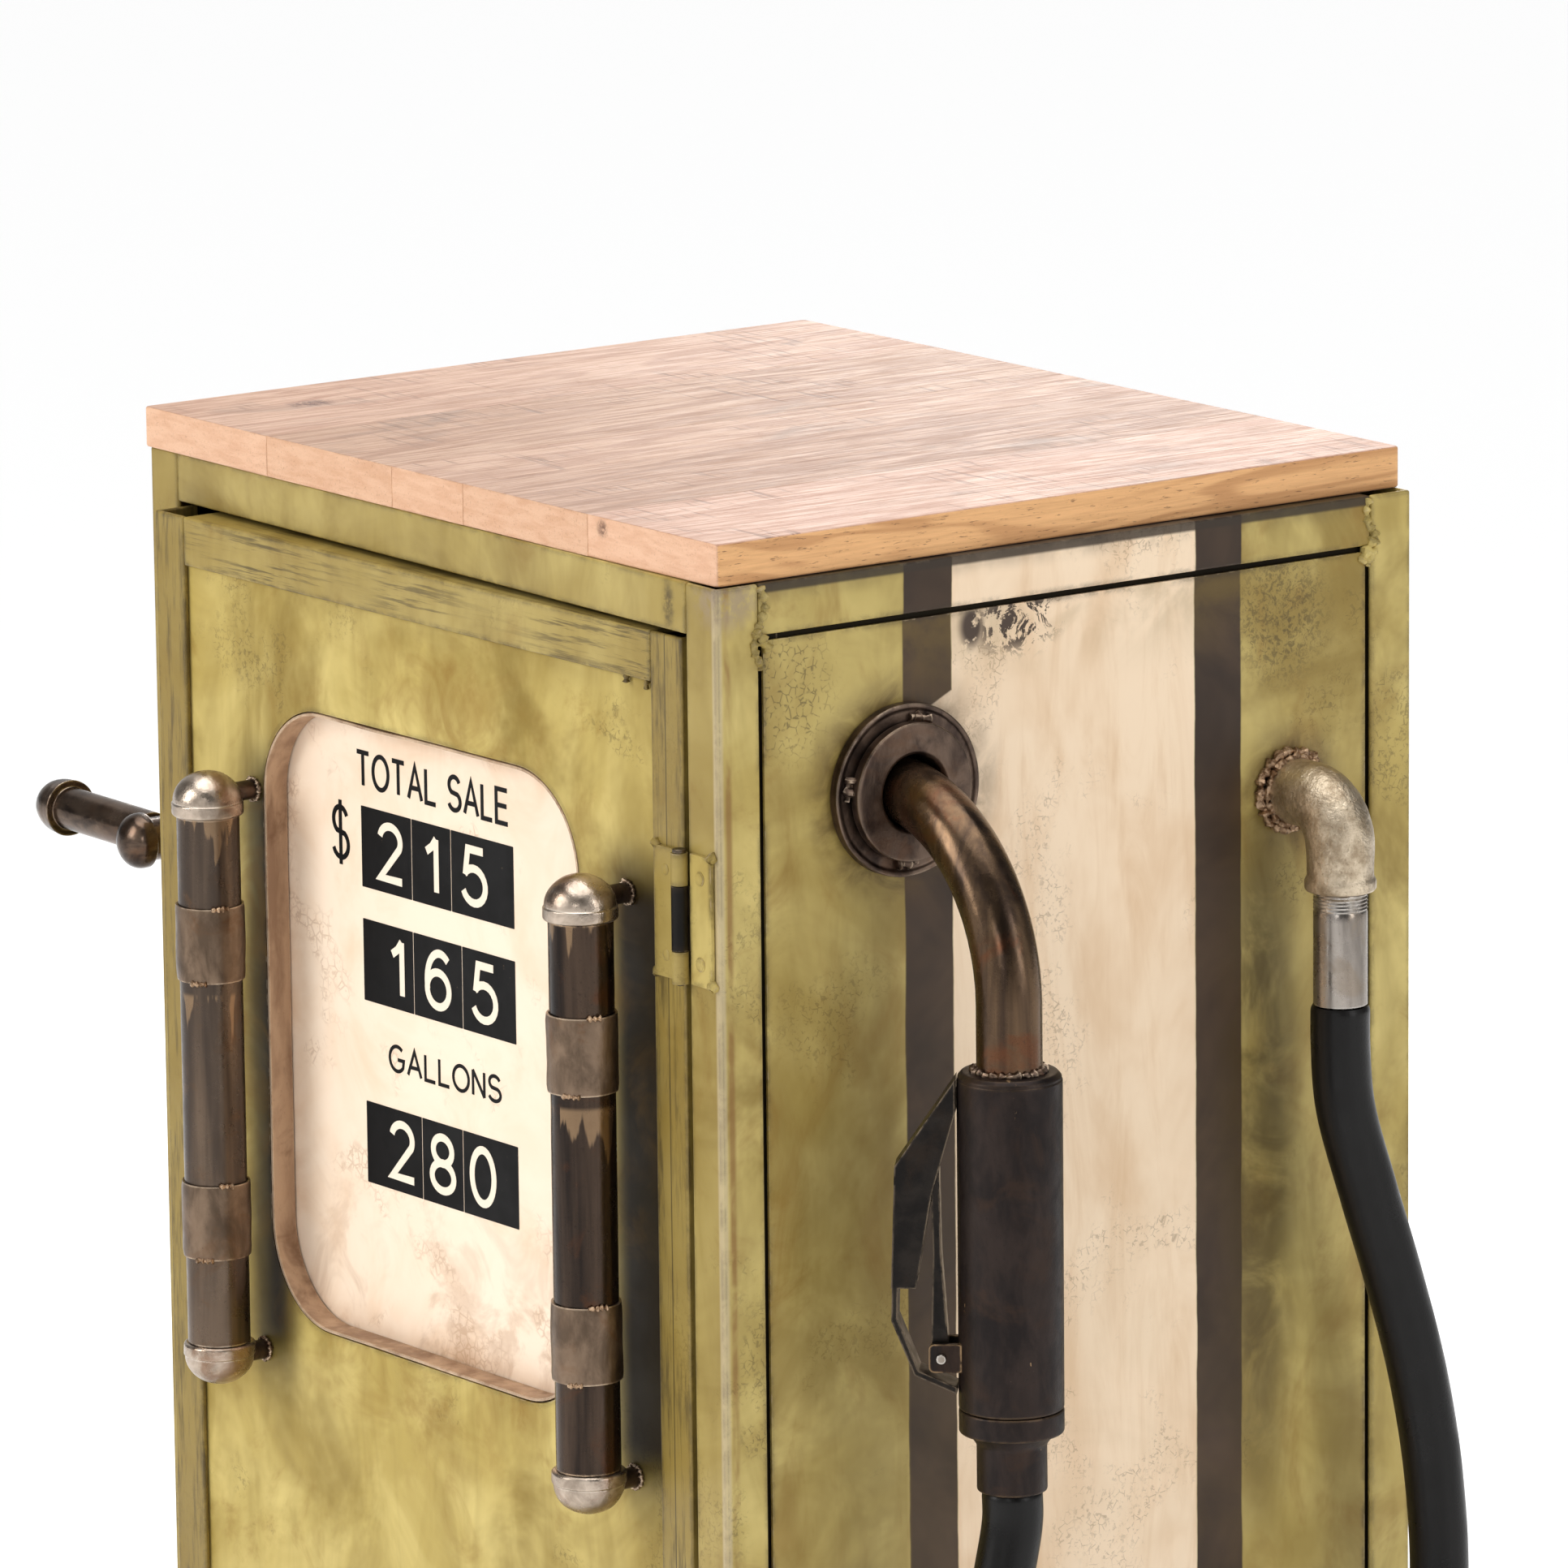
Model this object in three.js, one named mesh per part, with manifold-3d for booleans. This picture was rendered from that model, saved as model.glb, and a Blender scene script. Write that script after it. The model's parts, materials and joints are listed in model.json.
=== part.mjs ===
// A storage cabinet in the shape of an old fuel pump: a welded angle-iron frame with sheet panels
// and a solid wood top, a hinged door with a dial window, a side crank, and a nozzle on a hose.
// Millimetres, +Z up, the door faces -Y. Pieces are placed about the cabinet's centre on the
// floor, and the whole group is then moved to the middle of its own outer box.
import * as THREE from 'three';
import { mergeVertices } from 'three/addons/utils/BufferGeometryUtils.js';
import Module from 'manifold-3d';

const wasm = await Module();
wasm.setup();

// ---------- driving dimensions ----------
const WIDTH = 500; // outside of the angle-iron frame, X
const DEPTH = 421; // outside of the angle-iron frame, Y
const HEIGHT = 1060; // floor to the face of the wood top
const FRAME_TOP = 1039;
const GAP = 0.3; // between pieces that touch
const ANGLE_LEG = 25;
const ANGLE_WALL = 3;
const SHEET = 1.5;
const PANEL_GAP = 3; // open slot around each side panel
const PANEL_SET_BACK = 1;
const FOOT_HEIGHT = 8;
const FOOT_RADIUS = 14;
const TRAY_FLOOR = 60;
const TRAY_WALL = 25;
const SHELF_HEIGHT = 545;
const SHELF_THICKNESS = 12;

const WOOD_TURN = 0.75; // degrees that the top sits askew on its frame
const WOOD_SET_BACK = 2.5;

const HINGE_X = WIDTH / 2 - ANGLE_LEG - 0.5;
const HINGE_Y = -DEPTH / 2 - 5;
const DOOR_AJAR = 2; // degrees that the door stands open at rest
const DOOR_LEFT = -WIDTH / 2 + ANGLE_LEG + 2.5;
const DOOR_RIGHT = WIDTH / 2 - ANGLE_LEG - 3.5;
const DOOR_TOP = FRAME_TOP - ANGLE_LEG - 2.5;
const DOOR_BOTTOM = TRAY_FLOOR + TRAY_WALL + 2.5;
const HINGE_HEIGHT = 64;
const HINGE_INSET = 135; // hinge centre to the door's end
const CATCH = { depth: 18, bottom: 690, top: 730 };
const KNUCKLE_RADIUS = 4.2;
const PIN_RADIUS = 2;

const WINDOW = { centre: -1.5, width: 268, top: 927, height: 320, radius: 50 };
const RIM_WALL = 3;
const RIM_DEPTH = 13;
const DIAL_RECESS = 14;

const TUBE_RADIUS = 15.9;
const TUBE_TOP = 870;
const TUBE_BOTTOM = 597;
const TUBE_STAND_OFF = 29; // tube axis to the door skin
const TUBE_XS = { left: -143, right: 172.5 };
const CAP_RADIUS = 18.3;
const CAP_HEIGHT = 22.5;
const STUD = { radius: 5, start: 8, rise: 9 }; // from the cap's middle back to the door
const COLLAR = { radius: 17.2, height: 38.5, below_end: 45.5 };

const HOLSTER = { y: -102.2, z: 929, plate: 42.5, boss: 34, hole: 20, step: 6 };
const SPOUT_RADIUS = 15.9;
const SPOUT_REACH = 85; // cabinet side to the hanging nozzle's axis
const SPOUT_BEND = 92;
const NOZZLE_X = WIDTH / 2 + SPOUT_REACH;
const NOZZLE_RADIUS = 25.4;
const NOZZLE_TOP = 806;
const NOZZLE_BOTTOM = 640;
const GUARD_TURN = -40; // degrees, from straight ahead towards the cabinet
const TRIGGER_PIVOT = { y: -33, z: 666, bore: 2.8, pin: 2.4 };

const ELBOW = { y: 134.5, z: 897.5, reach: 40, drop: 43.5, bend: 20, radius: 16.6, bead: 17.8 };
const NIPPLE_RADIUS = 13.45;
const NIPPLE_END = 796;
const HOSE_RADIUS = 14.75;
const HOSE_FRONT_END = 598.7;

const SPINDLE_RADIUS = 8;
const CRANK = { y: -59, z: 827, arm: 130, stand_off: 30, rod: 11.1, cap: 14.4, grip: 91 };

// ---------- finishes ----------
const finish = (color, roughness, metalness) => ({ color, roughness, metalness });
const GREEN = finish(0xa8a04e, 0.5, 0.3);
const CREAM = finish(0xe8d3b4, 0.55, 0.05);
const BRONZE = finish(0x5c4a3a, 0.28, 0.9);
const NICKEL = finish(0x8f8577, 0.35, 0.95);
const BLACK_STEEL = finish(0x1e1c1b, 0.4, 0.8);
const GUNMETAL = finish(0x3d342e, 0.45, 0.8);
const ZINC = finish(0xa9a8a4, 0.4, 0.95);
const CAST = finish(0x9b9184, 0.55, 0.85);
const WOOD = finish(0xcfa487, 0.6, 0.0);
const RUBBER = finish(0x111112, 0.45, 0.0);

// ---------- helpers ----------
// Basis for a section drawn in (u, v) and pushed along the named axis.
const BASES = {
  x: [new THREE.Vector3(0, 1, 0), new THREE.Vector3(0, 0, 1), new THREE.Vector3(1, 0, 0)],
  y: [new THREE.Vector3(0, 0, 1), new THREE.Vector3(1, 0, 0), new THREE.Vector3(0, 1, 0)],
  z: [new THREE.Vector3(1, 0, 0), new THREE.Vector3(0, 1, 0), new THREE.Vector3(0, 0, 1)],
};

function shapeOf(points) {
  return new THREE.Shape(points.map(([u, v]) => new THREE.Vector2(u, v)));
}

// Section (u, v) is (y, z) for axis x, (z, x) for axis y and (x, y) for axis z.
function prism(axis, shape, from, to, curveSegments = 10) {
  const options = { depth: to - from, bevelEnabled: false, curveSegments };
  const geometry = new THREE.ExtrudeGeometry(shape, options);
  geometry.translate(0, 0, from);
  return geometry.applyMatrix4(new THREE.Matrix4().makeBasis(...BASES[axis]));
}

function block(x, y, z) {
  const geometry = new THREE.BoxGeometry(x[1] - x[0], y[1] - y[0], z[1] - z[0]);
  return geometry.translate((x[0] + x[1]) / 2, (y[0] + y[1]) / 2, (z[0] + z[1]) / 2);
}

// A turned piece: profile points are [radius, place along the axis].
function turned(axis, profile, segments = 24) {
  const points = profile.map(([r, along]) => new THREE.Vector2(r, along));
  const geometry = new THREE.LatheGeometry(points, segments);
  if (axis === 'z') geometry.rotateX(Math.PI / 2);
  if (axis === 'x') geometry.rotateZ(-Math.PI / 2);
  return geometry;
}

const rod = (axis, radius, from, to, segments) =>
  turned(axis, [[0, from], [radius, from], [radius, to], [0, to]], segments);

const ring = (axis, inner, outer, from, to, segments) =>
  turned(axis, [[inner, from], [outer, from], [outer, to], [inner, to], [inner, from]], segments);

// A rod with a domed head on its far end, as half an ellipse of the given height.
function domeProfile(radius, from, height, steps = 6) {
  const points = [];
  for (let i = 0; i <= steps; i += 1) {
    const turn = (i / steps) * Math.PI / 2;
    points.push([i === steps ? 0 : radius * Math.cos(turn), from + height * Math.sin(turn)]);
  }
  return points;
}

function roundedRect(u0, u1, v0, v1, r, Type = THREE.Shape) {
  const outline = new Type();
  outline.moveTo(u0 + r, v0);
  outline.lineTo(u1 - r, v0);
  outline.absarc(u1 - r, v0 + r, r, -Math.PI / 2, 0);
  outline.lineTo(u1, v1 - r);
  outline.absarc(u1 - r, v1 - r, r, 0, Math.PI / 2);
  outline.lineTo(u0 + r, v1);
  outline.absarc(u0 + r, v1 - r, r, Math.PI / 2, Math.PI);
  outline.lineTo(u0, v0 + r);
  outline.absarc(u0 + r, v0 + r, r, Math.PI, 1.5 * Math.PI);
  return outline;
}

function circle(radius, u = 0, v = 0, Type = THREE.Path) {
  return new Type().absarc(u, v, radius, 0, 2 * Math.PI, false);
}

// A tube along a curve, with an optional bore.
function pipe(curve, radius, bore, sides, steps) {
  const section = circle(radius, 0, 0, THREE.Shape);
  if (bore) section.holes.push(circle(bore));
  const options = { steps, extrudePath: curve, curveSegments: sides };
  return new THREE.ExtrudeGeometry(section, options);
}

function toSolid(geometry) {
  const bare = geometry.clone();
  bare.deleteAttribute('normal');
  bare.deleteAttribute('uv');
  const merged = mergeVertices(bare, 1e-4);
  const vertProperties = new Float32Array(merged.attributes.position.array);
  const triVerts = new Uint32Array(merged.index.array);
  return new wasm.Manifold(new wasm.Mesh({ numProp: 3, vertProperties, triVerts }));
}

function toGeometry(solid) {
  const mesh = solid.getMesh();
  const geometry = new THREE.BufferGeometry();
  geometry.setAttribute('position', new THREE.BufferAttribute(mesh.vertProperties, 3));
  geometry.setIndex(new THREE.BufferAttribute(mesh.triVerts, 1));
  geometry.computeVertexNormals();
  return geometry;
}

const joined = (...pieces) =>
  toGeometry(pieces.map(toSolid).reduce((whole, piece) => whole.add(piece)));

const cut = (piece, ...tools) =>
  toGeometry(tools.map(toSolid).reduce((rest, tool) => rest.subtract(tool), toSolid(piece)));

function add(parent, name, geometry, look) {
  const mesh = new THREE.Mesh(geometry, new THREE.MeshStandardMaterial(look));
  mesh.name = name;
  parent.add(mesh);
  return mesh;
}

// Section of an angle iron with its corner at (u, v) and its legs towards signs su and sv.
function angleSection(u, v, su, sv) {
  const leg = ANGLE_LEG;
  const wall = ANGLE_WALL;
  const corners = [[0, 0], [leg, 0], [leg, wall], [wall, wall], [wall, leg], [0, leg]];
  return shapeOf(corners.map(([a, b]) => [u + su * a, v + sv * b]));
}

// ---------- frame ----------
function buildFrame(parent) {
  const inX = WIDTH / 2 - ANGLE_LEG - GAP;
  const inY = DEPTH / 2 - ANGLE_LEG - GAP;
  for (const [side, sx] of [['left', -1], ['right', 1]]) {
    for (const [end, sy] of [['front', -1], ['rear', 1]]) {
      const section = angleSection(sx * WIDTH / 2, sy * DEPTH / 2, -sx, -sy);
      const post = prism('z', section, FOOT_HEIGHT + GAP, FRAME_TOP);
      add(parent, `post_${end}_${side}`, post, GREEN);
      const r = FOOT_RADIUS;
      const foot = turned('z', [[0, 0], [r - 1.5, 0], [r, 2], [r, FOOT_HEIGHT], [0, FOOT_HEIGHT]]);
      const place = add(parent, `foot_${end}_${side}`, foot, RUBBER).position;
      place.set(sx * (WIDTH / 2 - r), sy * (DEPTH / 2 - r), 0);
    }
    const rail = angleSection(sx * WIDTH / 2, FRAME_TOP, -sx, -1).getPoints();
    const turnedRail = shapeOf(rail.map((p) => [p.y, p.x]));
    add(parent, `top_rail_${side}`, prism('y', turnedRail, -inY, inY), GREEN);
  }
  for (const [end, sy] of [['front', -1], ['rear', 1]]) {
    const section = angleSection(sy * DEPTH / 2, FRAME_TOP, -sy, -1);
    add(parent, `top_rail_${end}`, prism('x', section, -inX, inX), GREEN);
  }
}

// ---------- panels, tray, shelf and top ----------
// A sheet panel with one round hole, facing side sx.
function sidePanel(sx, hole) {
  const half = DEPTH / 2 - ANGLE_LEG - PANEL_GAP;
  const z = [TRAY_FLOOR + TRAY_WALL + PANEL_GAP, FRAME_TOP - ANGLE_LEG - PANEL_GAP];
  const face = WIDTH / 2 - PANEL_SET_BACK;
  const sheet = roundedRect(-half, half, z[0], z[1], 2);
  sheet.holes.push(circle(hole.radius, hole.y, hole.z));
  const faces = [sx * face, sx * (face - SHEET)].sort((a, b) => a - b);
  return prism('x', sheet, faces[0], faces[1], 16);
}

function buildPanels(parent) {
  const spoutHole = { radius: HOLSTER.hole, y: HOLSTER.y, z: HOLSTER.z };
  add(parent, 'right_panel', sidePanel(1, spoutHole), CREAM);
  const spindleHole = { radius: SPINDLE_RADIUS + 0.6, y: CRANK.y, z: CRANK.z };
  add(parent, 'left_panel', sidePanel(-1, spindleHole), GREEN);

  const backHalf = WIDTH / 2 - ANGLE_WALL - GAP;
  const backFace = DEPTH / 2 - ANGLE_WALL - GAP;
  const backSpan = [TRAY_FLOOR + TRAY_WALL + GAP, FRAME_TOP - ANGLE_WALL - GAP];
  const back = block([-backHalf, backHalf], [backFace - SHEET, backFace], backSpan);
  add(parent, 'back_panel', back, GREEN);

  const trayX = WIDTH / 2 - ANGLE_WALL - GAP;
  const trayY = DEPTH / 2 - ANGLE_WALL - GAP;
  const trayTop = TRAY_FLOOR + TRAY_WALL;
  const tray = block([-trayX, trayX], [-trayY, trayY], [TRAY_FLOOR, trayTop]);
  const inX = trayX - SHEET;
  const inY = trayY - SHEET;
  const well = block([-inX, inX], [-inY, inY], [TRAY_FLOOR + SHEET, trayTop + 5]);
  add(parent, 'bottom_tray', cut(tray, well), GREEN);
}

function buildShelf(parent) {
  const halfX = WIDTH / 2 - PANEL_SET_BACK - SHEET - GAP;
  const front = -DEPTH / 2 + ANGLE_LEG + 6;
  const rear = DEPTH / 2 - ANGLE_LEG - 6;
  const bottom = SHELF_HEIGHT - SHELF_THICKNESS;
  for (const [side, sx] of [['left', -1], ['right', 1]]) {
    const bar = [[0, 0], [20, 0], [20, -2], [2, -2], [2, -20], [0, -20]];
    const section = shapeOf(bar.map(([a, b]) => [bottom - GAP + b, sx * (halfX - a)]));
    add(parent, `shelf_rail_${side}`, prism('y', section, front, rear), GREEN);
  }
  const board = roundedRect(-halfX + 1, halfX - 1, front, rear, 3);
  add(parent, 'shelf', prism('z', board, bottom, SHELF_HEIGHT, 3), WOOD);
}

function buildWoodTop(parent) {
  const group = new THREE.Group();
  group.position.set(WIDTH / 2, -DEPTH / 2, 0);
  group.rotation.z = THREE.MathUtils.degToRad(WOOD_TURN);
  const edge = roundedRect(-WIDTH, -WOOD_SET_BACK, 3, DEPTH, 4);
  add(group, 'wood_top', prism('z', edge, FRAME_TOP + GAP, HEIGHT, 3), WOOD);
  parent.add(group);
}

// ---------- hinges ----------
const hingeCentres = {
  upper: DOOR_TOP - HINGE_INSET,
  lower: DOOR_BOTTOM + HINGE_INSET,
};

// A leaf with its knuckles about the origin, reaching to side sx; spans are knuckle heights.
function hingeLeaf(sx, reach, spans) {
  const back = -HINGE_Y - DEPTH / 2; // hinge axis to the faces that the leaves lie on
  const y = [back - 2.3, back - GAP];
  const clear = KNUCKLE_RADIUS + 0.6;
  const half = HINGE_HEIGHT / 2;
  const xSpan = (from, to) => [sx * from, sx * to].sort((a, b) => a - b);
  const parts = [block(xSpan(clear, reach), y, [-half, half])];
  for (const [low, high] of spans) {
    parts.push(block(xSpan(2.6, clear + 1), y, [low, high]));
    parts.push(rod('z', KNUCKLE_RADIUS, low, high, 20));
  }
  return cut(joined(...parts), rod('z', PIN_RADIUS + GAP, -half - 5, half + 5, 20));
}

function buildHinges(cabinet, door) {
  const third = HINGE_HEIGHT / 4;
  const half = HINGE_HEIGHT / 2;
  for (const [level, z] of Object.entries(hingeCentres)) {
    const outer = [[-half, -third - 0.2], [third + 0.2, half]];
    const doorLeaf = hingeLeaf(-1, 24, outer);
    const postLeaf = hingeLeaf(1, 22, [[-third + 0.2, third - 0.2]]);
    const head = [[0, -half - 1], [PIN_RADIUS, -half - 1], [PIN_RADIUS, half + GAP]];
    const pin = turned('z', [...head, [3.4, half + GAP], [3.4, half + 2], [0, half + 2]], 20);
    add(door, `hinge_${level}_door_leaf`, doorLeaf, GREEN).position.set(HINGE_X, HINGE_Y, z);
    add(cabinet, `hinge_${level}_post_leaf`, postLeaf, GREEN).position.set(HINGE_X, HINGE_Y, z);
    add(cabinet, `hinge_${level}_pin`, pin, BLACK_STEEL).position.set(HINGE_X, HINGE_Y, z);
  }
}

// ---------- door ----------
const doorFace = -DEPTH / 2;
const skinFace = doorFace + ANGLE_WALL + GAP;

function buildDoorFrame(door) {
  for (const [side, x, sx] of [['left', DOOR_LEFT, 1], ['right', DOOR_RIGHT, -1]]) {
    const section = angleSection(x, doorFace, sx, 1);
    add(door, `door_stile_${side}`, prism('z', section, DOOR_BOTTOM, DOOR_TOP), GREEN);
  }
  const x = [DOOR_LEFT + ANGLE_LEG + GAP, DOOR_RIGHT - ANGLE_LEG - GAP];
  for (const [end, z, sz] of [['top', DOOR_TOP, -1], ['bottom', DOOR_BOTTOM, 1]]) {
    const section = angleSection(doorFace, z, 1, sz);
    add(door, `door_rail_${end}`, prism('x', section, x[0], x[1]), GREEN);
  }
}

// Outline of the window grown by an offset, drawn in (z, x).
function windowOutline(grow, Type) {
  const bottom = WINDOW.top - WINDOW.height;
  const left = WINDOW.centre - WINDOW.width / 2;
  const right = WINDOW.centre + WINDOW.width / 2;
  const z = [bottom - grow, WINDOW.top + grow];
  return roundedRect(z[0], z[1], left - grow, right + grow, WINDOW.radius + grow, Type);
}

function buildDoorPanel(door) {
  const inset = ANGLE_WALL + GAP;
  const z = [DOOR_BOTTOM + inset, DOOR_TOP - inset];
  const sheet = roundedRect(z[0], z[1], DOOR_LEFT + inset, DOOR_RIGHT - inset, 1);
  sheet.holes.push(windowOutline(GAP, THREE.Path));
  add(door, 'door_skin', prism('y', sheet, skinFace, skinFace + SHEET, 8), GREEN);

  const strip = windowOutline(0, THREE.Shape);
  strip.holes.push(windowOutline(-RIM_WALL, THREE.Path));
  const rimFace = doorFace + 0.5;
  add(door, 'window_rim', prism('y', strip, rimFace, rimFace + RIM_DEPTH + 2.5, 8), BRONZE);

  const grow = 12;
  const edge = windowOutline(grow, THREE.Shape);
  const back = skinFace + DIAL_RECESS + SHEET;
  const front = skinFace + SHEET + GAP;
  const wellOutline = windowOutline(grow - SHEET, THREE.Shape);
  const well = prism('y', wellOutline, front - 5, skinFace + DIAL_RECESS, 8);
  add(door, 'dial_panel', cut(prism('y', edge, front, back, 8), well), CREAM);
}

function buildTubes(door) {
  const y = skinFace - TUBE_STAND_OFF;
  for (const [side, x] of Object.entries(TUBE_XS)) {
    const place = (name, geometry, look) => add(door, `${side}_tube_${name}`, geometry, look)
      .position.set(x, y, 0);
    place('rod', ring('z', TUBE_RADIUS - 2, TUBE_RADIUS, TUBE_BOTTOM, TUBE_TOP), BRONZE);
    for (const [end, z, sz] of [['top', TUBE_TOP, 1], ['bottom', TUBE_BOTTOM, -1]]) {
      const dome = [[0, GAP], [CAP_RADIUS, GAP], ...domeProfile(CAP_RADIUS, 7, CAP_HEIGHT - 7)];
      const cap = turned('z', dome);
      if (sz < 0) cap.rotateX(Math.PI);
      const stud = rod('y', STUD.radius, STUD.start, TUBE_STAND_OFF - GAP, 12);
      stud.translate(0, 0, sz * STUD.rise);
      place(`${end}_cap`, joined(cap, stud).translate(0, 0, z), NICKEL);
      const far = z - sz * (COLLAR.below_end + COLLAR.height);
      const near = z - sz * COLLAR.below_end;
      const span = [Math.min(near, far), Math.max(near, far)];
      const sleeve = ring('z', TUBE_RADIUS + GAP, COLLAR.radius + GAP, span[0], span[1]);
      place(`${end}_collar`, sleeve, GUNMETAL);
    }
  }
}

function buildCatch(parent) {
  const rear = doorFace + ANGLE_LEG + 0.8;
  const x = [-WIDTH / 2 + ANGLE_WALL + GAP, DOOR_LEFT + 8];
  add(parent, 'door_catch', block(x, [rear, rear + CATCH.depth], [CATCH.bottom, CATCH.top]), BLACK_STEEL);
}

// ---------- nozzle, holster and hose ----------
class Spout extends THREE.Curve {
  // From inside the holster out to the bend, round a quarter turn, and down to the nozzle.
  getPoint(t) {
    const bendStart = NOZZLE_X - SPOUT_BEND;
    const lengths = [22, SPOUT_BEND * Math.PI / 2, HOLSTER.z - SPOUT_BEND - NOZZLE_TOP - GAP];
    const along = t * (lengths[0] + lengths[1] + lengths[2]);
    const turn = (along - lengths[0]) / SPOUT_BEND;
    if (turn < 0) return new THREE.Vector3(bendStart + turn * SPOUT_BEND, HOLSTER.y, HOLSTER.z);
    if (turn > Math.PI / 2) {
      const down = along - lengths[0] - lengths[1];
      return new THREE.Vector3(NOZZLE_X, HOLSTER.y, HOLSTER.z - SPOUT_BEND - down);
    }
    const x = bendStart + SPOUT_BEND * Math.sin(turn);
    const z = HOLSTER.z - SPOUT_BEND * (1 - Math.cos(turn));
    return new THREE.Vector3(x, HOLSTER.y, z);
  }
}

function buildHolster(parent) {
  const face = WIDTH / 2 - PANEL_SET_BACK + GAP;
  const { plate, boss, hole, step } = HOLSTER;
  const outer = ring('x', 25, plate, face, face + step, 32);
  const sleeve = turned('x', [
    [hole, face - 45], [hole + 4, face - 45], [hole + 4, face - PANEL_SET_BACK - SHEET - GAP],
    [hole + 0.01, face - PANEL_SET_BACK - SHEET - GAP],
    [hole, face - 45],
  ], 32);
  const bossRing = turned('x', [
    [hole, face + GAP], [24.5, face + GAP], [24.5, face + step + GAP],
    [boss, face + step + GAP], [boss, face + 2 * step], [hole, face + 2 * step],
    [hole, face + GAP],
  ], 32);
  add(parent, 'holster_plate', outer, GUNMETAL).position.set(0, HOLSTER.y, HOLSTER.z);
  add(parent, 'holster_boss', bossRing, GUNMETAL).position.set(0, HOLSTER.y, HOLSTER.z);
  add(parent, 'holster_sleeve', sleeve, BLACK_STEEL).position.set(0, HOLSTER.y, HOLSTER.z);
}

function buildNozzle(parent) {
  const tube = pipe(new Spout(), SPOUT_RADIUS, SPOUT_RADIUS - 2, 8, 22);
  add(parent, 'spout', tube, BRONZE);

  const hand = new THREE.Group();
  hand.position.set(NOZZLE_X, HOLSTER.y, 0);
  hand.rotation.z = THREE.MathUtils.degToRad(GUARD_TURN);
  parent.add(hand);

  const r = NOZZLE_RADIUS;
  const barrel = turned('z', [
    [0, NOZZLE_TOP - GAP - 6], [r - 3, NOZZLE_TOP - GAP - 6], [r - 3, NOZZLE_BOTTOM],
    [r, NOZZLE_BOTTOM], [r, NOZZLE_TOP - GAP - 2], [r - 2, NOZZLE_TOP - GAP], [0, NOZZLE_TOP - GAP],
  ], 28);
  const lugs = [-1, 1].map((sx) => block(
    [Math.min(sx * 7, sx * 10), Math.max(sx * 7, sx * 10)],
    [TRIGGER_PIVOT.y - 6, -r + 3],
    [TRIGGER_PIVOT.z - 7, TRIGGER_PIVOT.z + 7],
  ));
  const pinBore = rod('x', TRIGGER_PIVOT.bore, -20, 20, 16);
  pinBore.translate(0, TRIGGER_PIVOT.y, TRIGGER_PIVOT.z);
  add(hand, 'nozzle_body', cut(joined(barrel, ...lugs), pinBore), GUNMETAL);

  const tail = turned('z', [
    [0, HOSE_FRONT_END + GAP], [17, HOSE_FRONT_END + GAP], [17, 622], [r - 4, 628],
    [r, 628], [r, NOZZLE_BOTTOM - GAP], [0, NOZZLE_BOTTOM - GAP],
  ], 28);
  add(hand, 'nozzle_lower_cap', tail, GUNMETAL);

  const strap = [
    [-r - GAP, 803], [-55, 760], [-57, 684], [-46, 657], [-r - GAP, 648],
    [-r - GAP, 651.5], [-44, 659.5], [-54, 685], [-52, 759], [-r - GAP, 797],
  ];
  const cheek = shapeOf([
    [-r - GAP, 803], [-55, 760], [-57, 700], [-45, 700], [-37, 747], [-r - GAP, 786],
  ]);
  const guard = joined(
    prism('x', shapeOf(strap), -8.5, 8.5),
    prism('x', cheek, -8.5, -6.5),
    prism('x', cheek, 6.5, 8.5),
  );
  add(hand, 'trigger_guard', guard, BLACK_STEEL);

  const { y, z, bore, pin } = TRIGGER_PIVOT;
  const lever = shapeOf([
    [y - 5, z - 5], [y + 5, z - 5], [y + 3, z + 8], [y, z + 50], [y - 1, z + 104],
    [y - 5, z + 104], [y - 4, z + 50], [y - 5, z + 8],
  ]);
  const leverBore = rod('x', bore, -20, 20, 16).translate(0, y, z);
  add(hand, 'trigger', cut(prism('x', lever, -5, 5), leverBore), BLACK_STEEL);
  add(hand, 'trigger_pin', rod('x', pin, -12, 12, 16), ZINC).position.set(0, y, z);
}

function elbowGeometry() {
  const { y, z, reach, drop, bend, radius, bead } = ELBOW;
  const centre = WIDTH / 2 + reach;
  const face = WIDTH / 2 - PANEL_SET_BACK + GAP;
  const path = new THREE.CurvePath();
  const corner = new THREE.Vector3(centre, y, z);
  const start = new THREE.Vector3(centre - bend, y, z);
  const end = new THREE.Vector3(centre, y, z - bend);
  path.add(new THREE.QuadraticBezierCurve3(start, corner, end));
  const inlet = rod('x', radius, face, centre - bend + 0.5, 20).translate(0, y, z);
  const outlet = rod('z', radius, z - drop, z - bend + 0.5, 20).translate(centre, y, 0);
  const elbow = pipe(path, radius, 0, 10, 8);
  const inletBand = rod('x', bead, face + 6, face + 12, 20).translate(0, y, z);
  const outletBand = rod('z', bead, z - drop, z - drop + 8, 20).translate(centre, y, 0);
  return joined(elbow, inlet, outlet, inletBand, outletBand);
}

// Fuel hose, from the nipple's end, round its hanging loop, up to the nozzle.
const HOSE_ROUTE = [
  [290, 134.5, 795.7], [290, 134.5, 778], [290.5, 137, 745], [293, 149.5, 700], [296, 163, 655],
  [300, 176, 602], [304, 183, 548], [308, 183, 492], [312, 173, 438], [316, 151, 390],
  [320, 117, 353], [324, 74, 331], [328, 29, 325], [331, -16, 334], [333, -58, 359],
  [334.5, -90, 397], [335, -110, 444], [335, -117, 494], [335, -110.5, 543],
  [335, -102.2, 583], [335, -102.2, 598.7],
];

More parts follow.
